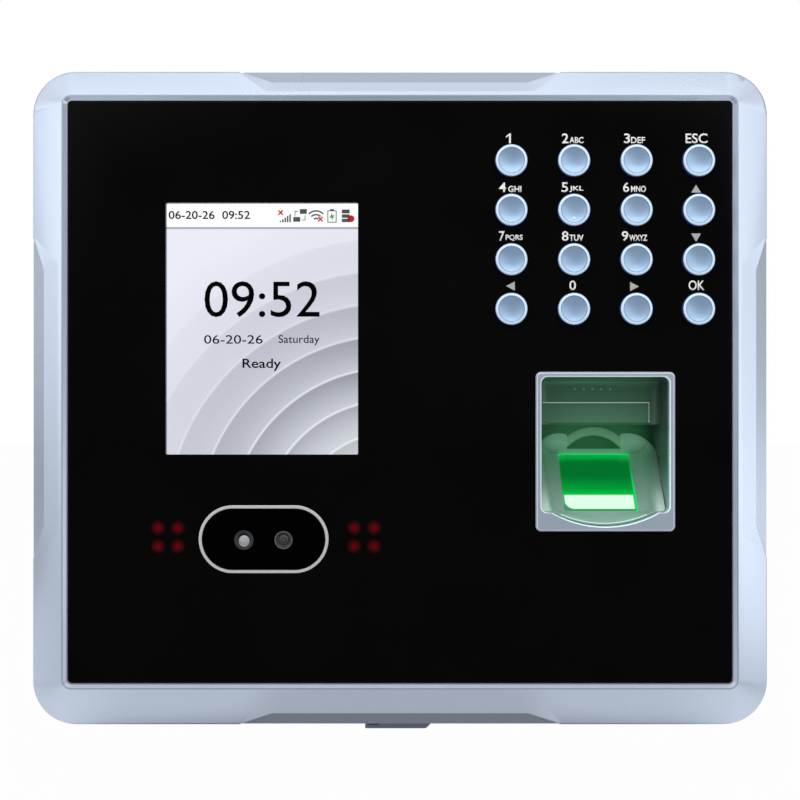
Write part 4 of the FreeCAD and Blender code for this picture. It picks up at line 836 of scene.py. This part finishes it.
look = {
    "silver": makeCasePaint("silverPaint"),
    "trim": makeCasePaint("trimPaint"),
    "black": makePanelBlack(),
    "window": makePlain("darkPane", srgb(1, 1, 1), 0.06, grain=5.0, relief=0.0, specular=0.05),
    "chrome": makeRingTrim(),
    "lens": makeLens(),
    # pip: pale paint with a painted glow that makes it show bright
    "pip": makeInk("pipPaintedGlow", srgb(226, 240, 254), 0.35),
    "key": makeKeyPaint(),
    "well": makeWellPlastic("wellPlastic", 0.9, 0.6),
    "saddle": makeWellPlastic("saddlePlastic", 0.5, 0.8),
    "rear": makePlain("rearPlastic", srgb(160, 169, 186), 0.50, 0.0, grain=0.35, spread=0.06, relief=0.06),
    "tab": makePlain("coverPlastic", srgb(152, 162, 184), 0.40, 0.0, grain=0.3, spread=0.08, relief=0.03),
    "dark": makePlain("blackMoulding", srgb(34, 34, 36), 0.55, grain=0.4, relief=0.05),
    "platen": makePlatenGlow(),
    "clear": makeClear("clearPane", 0.03, 0.03),
    "screen": makeScreenPicture(),
    "board": makeBoard(),
    "steel": makeSteel("zincSteel", (srgb(152, 156, 162), srgb(178, 182, 188)), 0.32, 6.0),
    "plate": makeSteel("coatedSteel", (srgb(150, 155, 162), srgb(176, 181, 188)), 0.40, 2.2),
    "rubber": makePlain("silicone", srgb(190, 190, 188), 0.6, grain=0.5, relief=0.02),
    "green": makePlain("clampGreen", srgb(40, 130, 70), 0.42, grain=0.4, relief=0.03),
    "blue": makePlain("cellWrap", srgb(44, 66, 140), 0.35, grain=2.0, relief=0.05),
    "white": makePlain("whitePlastic", srgb(226, 226, 222), 0.4, grain=0.4, relief=0.02),
    # bead: pale ink with a painted glow, a painted highlight along the sill
    "bead": makeInk("beadPaintedHighlight", srgb(214, 240, 230), 0.42),
    "gold": makePlain("goldContact", srgb(222, 178, 92), 0.25, 1.0, grain=0.2, relief=0.01),
    "ink": makeInk("blackInk", srgb(1, 1, 2), specular=0.0),
    # white legend: with a faint painted glow that brightens it
    "legend": makeInk("whiteLegend", srgb(252, 252, 250), 0.22),
    "greyLegend": makeInk("greyLegend", srgb(206, 206, 206)),
    "redIcon": makeInk("redIcon", srgb(206, 26, 24), 0.5),
    "greenIcon": makeInk("greenIcon", srgb(74, 158, 62), 0.5),
    "greyIcon": makeInk("greyIcon", srgb(84, 86, 90), 0.4),
}
print("terminal: materials made")

everywhere = 100.0  # mm, beyond the terminal on all sides
catchZones = {
    # where faces catch the light: their kind, how much, the box's low and high corner
    "front_housing": [("rounded", 1.0, (-everywhere, -33.0, -everywhere), (everywhere, -26.0, everywhere))],
    "finger_bezel": [("rounded", 1.0, (-everywhere, -33.0, -everywhere), (everywhere, -31.2, everywhere)),
                     ("slanted", 1.0, (31.75, -33.0, -29.6), (61.55, -31.2, 5.15))],
    "finger_well": [("slanted", 1.0, (31.5, -21.8, -1.3), (58.9, -20.9, -0.6)),
                    ("slanted", 1.0, (58.0, -21.8, -6.2), (58.9, -20.9, -0.6)),
                    ("small", 0.3, (40.5, -21.5, 1.7), (50.0, -20.55, 2.5))],
}
finish = [
    # node, slot, material, edge rounding in mm, least turn of a keen edge in degrees, low reliefs too
    ("front_housing", "silver_case", "silver", 0.14, 14.0, True),
    ("front_panel", "panel_black", "black", 0.05),
    ("finger_bezel", "reader_trim", "trim", 0.20),
    ("finger_well", "reader_well", "well", 0.14),
    ("platen_frame", "reader_well", "saddle", 0.30),
    ("platen", "platen_glass", "platen", 0.12),
    ("camera_ring", "bright_trim", "chrome", 0.06),
    ("camera_window", "window_dark", "window", 0.05),
    ("rear_housing", "rear_case", "rear", 0.18),
    ("usb_cover", "rear_case", "tab", 0.15),
    ("wall_plate", "plate_steel", "plate", 0.12),
    ("chassis", "chassis_black", "dark", 0.10),
    ("network_socket", "socket_black", "dark", 0.15),
    ("terminal_blocks", "terminal_green", "green", 0.15),
    ("usb_socket", "plated_steel", "steel", 0.06),
    ("lock_screw", "plated_steel", "steel", 0.10),
    ("case_screws", "plated_steel", "steel", 0.10),
    ("tamper_plunger", "plunger_white", "white", 0.08),
]
for node, slot, material, *edges in finish:
    softened(node, slot, look[material], *edges, zone=catchZones.get(node))
onlyPainted = {
    "clear": ("display_window", "infrared_leds"), "lens": ("camera_barrels", "camera_glasses"),
    "dark": ("camera_bracket", "sensor_module", "speaker", "tamper_switch", "board_components", "panel_tape",
             "display_glass"),
    "steel": ("small_screws", "usb_cover_pin", "display_backlight"),
    "board": ("main_board", "keypad_board", "camera_board", "infrared_boards", "sensor_board"),
    "rubber": ("display_ribbon",), "blue": ("backup_battery",),
}
for material, names in onlyPainted.items():
    for name in names:
        data = nodes[name].data
        data.materials.clear()
        data.materials.append(look[material])
print("terminal: nodes finished")

rowInputs = [
    # what a row's tree asks for: name, kind, value it starts with
    ("Count", "Int", 4), ("Start", "Vector", (0, 0, 0)), ("Step", "Vector", (0.001, 0, 0)),
    ("Size", "Vector", (0.001, 0.001, 0.001)), ("Lean", "Float", 0.0), ("Seed", "Int", 7),
]


def newGroup(name, inputs):
    group = bpy.data.node_groups.new(name, "GeometryNodeTree")
    for word, kind, value in inputs:
        entry = group.interface.new_socket(name=word, in_out="INPUT", socket_type="NodeSocket" + kind)
        entry.default_value = value
    group.interface.new_socket(name="Geometry", in_out="OUTPUT", socket_type="NodeSocketGeometry")
    tree = Tree(group)
    return tree, tree.add("NodeGroupInput").outputs


def endGroup(tree, shape, material):
    solid = tree.out("GeometryNodeRealizeInstances", {0: shape})
    painted = tree.out("GeometryNodeSetMaterial", {"Geometry": solid, "Material": material})
    tree.give(tree.add("NodeGroupOutput").inputs[0], painted)
    return tree.tree


def makeRowTree(name, material, slotted):
    # a row of blocks or of slotted screw heads, each head turned its own way
    tree, asked = newGroup(name, rowInputs)
    row = tree.out("GeometryNodeMeshLine", {"Count": asked["Count"], "Start Location": asked["Start"],
                                            "Offset": asked["Step"]}, mode="OFFSET")
    if slotted:
        wide, deep, tall = tree.parts(asked["Size"])
        head = tree.out("GeometryNodeMeshCylinder", {"Vertices": 32, "Radius": wide * 0.5, "Depth": deep})
        cutter = tree.out("GeometryNodeMeshCube", {"Size": tree.joined(x=wide * 1.2, y=tall, z=deep)})
        lift = tree.joined(z=deep * 0.6)
        cutter = tree.out("GeometryNodeTransform", {"Geometry": cutter, "Translation": lift})
        shape = tree.out("GeometryNodeMeshBoolean", {"Mesh 1": head, "Mesh 2": cutter},
                         operation="DIFFERENCE")
        turn = tree.add("FunctionNodeRandomValue", {"Min": 0.0, "Max": 3.14, "Seed": asked["Seed"]},
                        data_type="FLOAT")
        turned = next(out for out in turn.outputs if out.enabled)
        lean = tree.joined(x=-pi / 2, y=turned)
    else:
        shape = tree.out("GeometryNodeMeshCube", {"Size": asked["Size"]})
        lean = tree.joined(x=asked["Lean"])
    placed = tree.out("GeometryNodeInstanceOnPoints", {"Points": row, "Instance": shape, "Rotation": lean})
    return endGroup(tree, placed, material)


def makeRow(name, material, group, values):
    # runs the tree on an empty mesh, with its places and sizes turned from mm to metres
    holder = addObject("holder", bpy.data.meshes.new("holder"))
    rule = holder.modifiers.new("row", "NODES")
    rule.node_group = group
    for item in group.interface.items_tree:
        if item.in_out == "INPUT" and item.name in values:
            value = values[item.name]
            if item.socket_type == "NodeSocketVector":
                value = [part * mm for part in value]
            rule[item.identifier] = value
    newPiece(name, evaluated(holder), "terminal", material)


clampScrew = {"Step": (5.08, 0, 0), "Size": (2.7, 0.6, 0.5)}
rows = {
    # slot, material, slotted heads or plain blocks, and the tree's inputs in mm
    "clampScrewsUpper": ("plated_steel", "steel", True, {
        "Count": 6, "Start": (-5.46, -7.05, 8.0), **clampScrew, "Seed": 3}),
    "clampScrewsLower": ("plated_steel", "steel", True, {
        "Count": 5, "Start": (-5.46, -7.05, -10.0), **clampScrew, "Seed": 8}),
    "networkContacts": ("components", "gold", False, {
        "Count": 8, "Start": (-25.57, -12.6, -1.2), "Step": (1.02, 0, 0), "Size": (0.45, 0.3, 9.6),
        "Lean": radians(-8)}),
    "usbContacts": ("components", "gold", False, {
        "Count": 4, "Start": (-1.45, -12.98, -66.0), "Step": (2.3, 0, 0), "Size": (1.0, 0.06, 6.5)}),
}
for name, (slot, material, slotted, values) in rows.items():
    group = makeRowTree(name + "Tree", look[material], slotted)
    makeRow(name, look[material], group, values)
print("terminal: rows of screws and contacts placed")

sillHighlightBead = {
    # fine bead along the scooped sill inside the mouth, whose painted glow stands for the highlight along the
    # lip's edge
    "half": 9.8,  # half its width, mm
    "middle": 46.65, "y": -29.42, "lowest": -28.66,
    "curve": 24.48,  # radius of the scoop
    "thick": 0.11,
}


def makeBeadTree(name, material):
    # a round bead along the arc, in the plane that faces -Y
    inputs = [(word, "Float", 0.0) for word in ("Span", "Radius", "Thick")]
    tree, asked = newGroup(name, inputs + [("Middle", "Vector", (0, 0, 0))])
    span = Val(tree, asked["Span"])
    arc = tree.out("GeometryNodeCurveArc", {"Resolution": 48, "Radius": asked["Radius"], "Sweep Angle": span,
                                            "Start Angle": span * -0.5 - pi / 2}, mode="RADIUS")
    upright = tree.out("GeometryNodeTransform", {"Geometry": arc, "Translation": asked["Middle"],
                                                 "Rotation": (pi / 2, 0, 0)})
    profile = tree.out("GeometryNodeCurvePrimitiveCircle", {"Resolution": 10, "Radius": asked["Thick"]},
                       mode="RADIUS")
    solid = tree.out("GeometryNodeCurveToMesh", {"Curve": upright, "Profile Curve": profile,
                                                 "Fill Caps": True})
    return endGroup(tree, solid, material)


# a thin glowing bead that gives the sill its painted highlight
k = sillHighlightBead
makeRow("sillHighlightBead", look["bead"], makeBeadTree("sillBeadTree", look["bead"]), {
    "Span": 2 * asin(k["half"] / k["curve"]), "Radius": k["curve"] * mm, "Thick": k["thick"] * mm,
    "Middle": (k["middle"], k["y"], k["lowest"] + k["curve"])})

keyShape = {
    "radius": 3.70, "front": -32.75, "rimDrop": 0.42,  # mm, all of these
    "dishRadius": 2.87, "dishDepth": 0.42, "dishSunk": 0.06, "groove": 0.06,
    "flangeRadius": 4.7, "flangeFront": -27.65, "flangeThick": 0.8,
    "stemRadius": 1.7, "stemEnd": -26.22,
    "turns": 72,  # steps round the key
}


def dishDepthAt(r):
    # y of the dish's face this far off the key's axis
    k = keyShape
    return k["front"] + k["dishSunk"] + k["dishDepth"] * (1 - (r / k["dishRadius"]) ** 2)


def keyProfile():
    # (radius, y) from the dish's middle out, over the rim and down to the stem
    k = keyShape
    points = []
    for i in range(9):
        r = k["dishRadius"] * i / 8
        points.append((r, dishDepthAt(r)))
    points += [(k["dishRadius"] + 0.03, k["front"] + k["dishSunk"] + k["groove"]),
               (k["dishRadius"] + 0.07, k["front"] + 0.05)]
    for i in range(9):
        a = radians(10 * i + 4)
        points.append((k["dishRadius"] + 0.08 + (k["radius"] - k["dishRadius"] - 0.08) * sin(a),
                       k["front"] + k["rimDrop"] * (1 - cos(a))))
    points += [(k["radius"], k["front"] + k["rimDrop"] + 0.12), (k["radius"], k["flangeFront"]),
               (k["flangeRadius"], k["flangeFront"]),
               (k["flangeRadius"], k["flangeFront"] + k["flangeThick"]),
               (k["stemRadius"], k["flangeFront"] + k["flangeThick"]), (k["stemRadius"], k["stemEnd"])]
    return points


def makeKeyMesh(name, centre):
    # the profile turned round the key's own axis
    profile = keyProfile()
    turns = keyShape["turns"]
    cx, cz = centre
    verts = [(cx, profile[0][1], cz)]
    for i in range(turns):
        a = 2 * pi * i / turns
        verts += [(cx + r * cos(a), y, cz + r * sin(a)) for r, y in profile[1:]]
    verts.append((cx, profile[-1][1], cz))
    ring = len(profile) - 1
    faces = []
    for i in range(turns):
        j = (i + 1) % turns
        faces.append((0, 1 + i * ring, 1 + j * ring))
        for step in range(1, ring):
            faces.append((i * ring + step, i * ring + step + 1, j * ring + step + 1, j * ring + step))
        faces.append((len(verts) - 1, j * ring + ring, i * ring + ring))
    mesh = bpy.data.meshes.new(name)
    mesh.from_pydata([Vector(v) * mm for v in verts], [], faces)
    with edited(mesh) as work:
        bmesh.ops.recalc_face_normals(work, faces=work.faces)
    mesh.shade_smooth()
    mesh.set_sharp_from_angle(angle=radians(50))
    reach = mesh.attributes.new("reach", "FLOAT", "POINT")
    for vert in mesh.vertices:
        reach.data[vert.index].value = hypot(vert.co.x / mm - cx, vert.co.z / mm - cz)
    return mesh


keySpots = {}  # x and z of each key's axis, mm
for node in [n for n in nodes if n.startswith("key_")]:
    low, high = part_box(node)
    middle = (low + high) / 2 / mm
    keySpots[node] = (middle.x, middle.z)
    name = node + "_cap"
    newPiece(name, makeKeyMesh(name, keySpots[node]), node, look["key"], (node,))

pip = {"node": "key_5", "drop": 1.95, "radius": 0.36}  # mm, half sunk in the dish, to find the key by touch
x, z = keySpots[pip["node"]]
name = pip["node"] + "_pip"
mesh = bpy.data.meshes.new(name)
with edited(mesh) as work:
    bmesh.ops.create_icosphere(work, subdivisions=3, radius=pip["radius"] * mm)
    where = Vector((x, dishDepthAt(pip["drop"]), z - pip["drop"])) * mm
    bmesh.ops.translate(work, vec=where, verts=work.verts)
mesh.shade_smooth()
newPiece(name, mesh, pip["node"], look["pip"])

mat = {
    "node": "keypad_mat", "slot": "silicone",
    "domeReach": 3.73,  # mm off a key's axis, where its dome meets the sheet
    "still": -24.6, "moved": -25.1,  # a dome gives way between these depths
}


def cutMat(name, spots, domes):
    # the domes at the spots, or the sheet without them, rims closed
    def near(corners, spot):
        x, z = spot
        return all(hypot(v.co.x / mm - x, v.co.z / mm - z) < mat["domeReach"] for v in corners)

    mesh = bpy.data.meshes.new(name)
    with edited(mesh, nodes[mat["node"]].data) as work:
        bmesh.ops.remove_doubles(work, verts=work.verts, dist=welded)
        unwanted = [face for face in work.faces if any(near(face.verts, spot) for spot in spots) != domes]
        bmesh.ops.delete(work, geom=unwanted, context="FACES")
        for spot in spots:
            rims = [line for line in work.edges if line.is_boundary and near(line.verts, spot)]
            bmesh.ops.bridge_loops(work, edges=rims)
        bmesh.ops.recalc_face_normals(work, faces=work.faces)
    return mesh


sheet = cutMat("keypad_mat_sheet", list(keySpots.values()), False)
newPiece("keypad_mat_sheet", sheet, "terminal", look["rubber"], (mat["node"],))
for node, (x, z) in keySpots.items():
    name = node + "_dome"
    dome = newPiece(name, cutMat(name, [(x, z)], True), None, look["rubber"], (mat["node"],))
    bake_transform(dome)
print("terminal: keys turned, domes cut")


grounds = {
    # where flat signs stand: y of the plane behind them, their thickness in mm, their slot
    "panel": (-31.2, 0.02, "panel_black"),
    "display": (-29.40, 0.03, "display_glass"),
    "screen": (-29.43, 0.02, "display_glass"),
}


def printMesh(name, mesh, ground, ink):
    # gives a flat sheet that faces -Y a closed thickness towards the front
    plane, thick, slot = grounds[ground]
    with edited(mesh) as work:
        bmesh.ops.remove_doubles(work, verts=work.verts, dist=1e-7)
        bmesh.ops.recalc_face_normals(work, faces=work.faces)
        grown = bmesh.ops.extrude_face_region(work, geom=work.faces[:])
        for item in grown["geom"]:
            if isinstance(item, bmesh.types.BMVert):
                item.co.y -= thick * mm
        bmesh.ops.recalc_face_normals(work, faces=work.faces)
    newPiece(name, mesh, "terminal", look[ink])


def printText(name, words, left, right, base, top, ground, ink, bold):
    # flat lettering that fills a box; bold: how much is added to each stroke
    curve = bpy.data.curves.new(name, "FONT")
    curve.body = words
    curve.resolution_u = 4
    curve.offset = bold
    mesh = evaluated(addObject(name, curve))
    bpy.data.curves.remove(curve)
    xs = [v.co.x for v in mesh.vertices]
    ys = [v.co.y for v in mesh.vertices]
    spanX, spanY = max(xs) - min(xs), max(ys) - min(ys)
    for v in mesh.vertices:
        x = left + (v.co.x - min(xs)) / spanX * (right - left)
        z = base + (v.co.y - min(ys)) / spanY * (top - base)
        v.co = Vector((x, grounds[ground][0], z)) * mm
    printMesh(name, mesh, ground, ink)


def printShape(name, outline, ground, ink):
    # a closed flat shape from an (x, z) outline
    mesh = bpy.data.meshes.new(name)
    corners = [Vector((x, grounds[ground][0], z)) * mm for x, z in outline]
    mesh.from_pydata(corners, [], [tuple(range(len(corners)))])
    printMesh(name, mesh, ground, ink)


def oblong(x0, x1, z0, z1):
    return [(x0, z0), (x1, z0), (x1, z1), (x0, z1)]


def figureOne(left, right, base, top):
    # a stem with a slanting flag, since the font's own 1 is a bare bar
    stem, flag = 0.42, 0.62
    return [(right - stem, base), (right, base), (right, top), (right - stem * 0.8, top), (left, top - flag),
            (left, top - flag - 0.38), (right - stem, top - flag * 0.62)]


legendLook = {
    "rows": [57.9, 46.8, 35.7, 24.5],  # where each row of lettering stands, mm
    "tall": 2.23, "small": 1.42,  # height of the signs and of the letters beside them
    "bold": 0.014, "smallBold": 0.022,
}
legends = [
    # row, sign, its left and right edges, letters, their edges
    (0, "1", 24.1, 25.2, "", 0, 0), (0, "2", 36.8, 38.3, "ABC", 38.5, 41.7),
    (0, "3", 50.9, 52.3, "DEF", 52.5, 55.7), (0, "ESC", 64.9, 69.9, "", 0, 0),
    (1, "4", 22.5, 24.1, "GHI", 24.6, 27.6), (1, "5", 36.7, 38.2, "JKL", 38.5, 41.7),
    (1, "6", 50.7, 52.1, "MNO", 52.5, 55.9),
    (2, "7", 22.5, 23.8, "PQRS", 24.0, 27.9), (2, "8", 36.8, 38.3, "TUV", 38.5, 41.7),
    (2, "9", 50.4, 51.9, "WXYZ", 52.1, 56.2),
    (3, "0", 38.5, 40.0, "", 0, 0), (3, "OK", 65.6, 69.2, "", 0, 0),
]
k = legendLook
for row, sign, left, right, letters, *edges in legends:
    base = k["rows"][row]
    box = (left, right, base, base + k["tall"])
    if sign == "1":
        printShape("legend_1", figureOne(*box), "panel", "legend")
    else:
        printText("legend_" + sign, sign, *box, "panel", "legend", k["bold"])
    if letters:
        printText("legend_" + letters, letters, *edges, base, base + k["small"], "panel", "legend",
                  k["smallBold"])
arrows = {
    # corners of each triangle, x and z
    "up": [(66.2, 46.7), (68.4, 46.7), (67.3, 48.5)],
    "down": [(66.2, 37.4), (67.3, 35.5), (68.4, 37.4)],
    "left": [(24.1, 25.45), (26.1, 24.4), (26.1, 26.5)],
    "right": [(52.3, 24.3), (54.3, 25.35), (52.3, 26.4)],
}
for way, outline in arrows.items():
    printShape("arrow_" + way, outline, "panel", "greyLegend")
print("terminal: legends printed")

k = screenLook
printShape("screen_picture", oblong(k["left"], k["right"], k["bottom"], k["top"]), "display", "screen")
screenText = [
    # words, left, right, base, top, how much bolder the strokes are
    ("06-20-26  09:52", -52.9, -34.3, 40.9, 42.8, 0.012), ("09:52", -44.7, -18.4, 18.5, 26.7, 0.0),
    ("06-20-26", -44.8, -31.4, 12.4, 14.4, 0.004), ("Saturday", -27.8, -18.4, 12.0, 14.4, 0.004),
    ("Ready", -36.0, -27.2, 6.2, 9.0, 0.012),
]
for number, (words, *box, bold) in enumerate(screenText, 1):
    printText("screen_text_" + str(number), words, *box, "screen", "ink", bold)


def arcBand(cx, cz, inner, outer, start, end, steps=14):
    # outline of a band between two radii and two angles
    angles = [radians(start + (end - start) * i / steps) for i in range(steps + 1)]
    near = [(cx + inner * cos(a), cz + inner * sin(a)) for a in angles]
    far = [(cx + outer * cos(a), cz + outer * sin(a)) for a in reversed(angles)]
    return near + far


def cross(cx, cz, half, width):
    # two bars on the diagonals
    shapes = []
    for turn in (45, -45):
        a = radians(turn)
        along, over = (half * cos(a), half * sin(a)), (-width * sin(a), width * cos(a))
        shapes.append([(cx + i * along[0] + j * over[0], cz + i * along[1] + j * over[1])
                       for i, j in ((-1, -1), (1, -1), (1, 1), (-1, 1))])
    return shapes


icons = {
    "greyIcon": [  # signal bars, network boxes, waves, battery, stores
        *[oblong(-27.5 + 0.55 * i, -27.15 + 0.55 * i, 40.2, 40.5 + 0.38 * i) for i in range(5)],
        oblong(-22.9, -21.3, 42.1, 43.2), oblong(-24.4, -22.8, 40.3, 41.4),
        *[arcBand(-19.2, 40.4, inner, inner + 0.35, 45, 135) for inner in (2.2, 1.35, 0.5)],
        oblong(-16.6, -16.4, 40.1, 42.9), oblong(-14.7, -14.5, 40.1, 42.9), oblong(-16.4, -14.7, 40.1, 40.3),
        oblong(-16.4, -14.7, 42.7, 42.9), oblong(-16.0, -15.1, 42.9, 43.2),
        *[oblong(-13.3, -11.5, base, top) for base, top in ((42.2, 43.1), (41.2, 42.0), (40.2, 41.0))],
    ],
    "greenIcon": [  # links and bolt
        oblong(-24.1, -23.2, 42.6, 42.8), oblong(-24.1, -23.9, 41.6, 42.8), oblong(-22.5, -21.6, 40.6, 40.8),
        oblong(-21.8, -21.6, 40.6, 41.8),
        [(-16.1, 41.2), (-15.5, 42.5), (-15.5, 41.8), (-15.0, 41.8), (-15.6, 40.5), (-15.6, 41.2)],
    ],
    "redIcon": [  # crosses and dot
        *cross(-27.3, 42.4, 0.75, 0.16), *cross(-18.2, 40.9, 0.75, 0.16),
        arcBand(-11.2, 41.0, 0.0, 0.8, 0, 360),
    ],
}
for colour, outlines in icons.items():
    for number, outline in enumerate(outlines, 1):
        printShape(colour + "_" + str(number), outline, "screen", colour)
print("terminal: screen drawn")
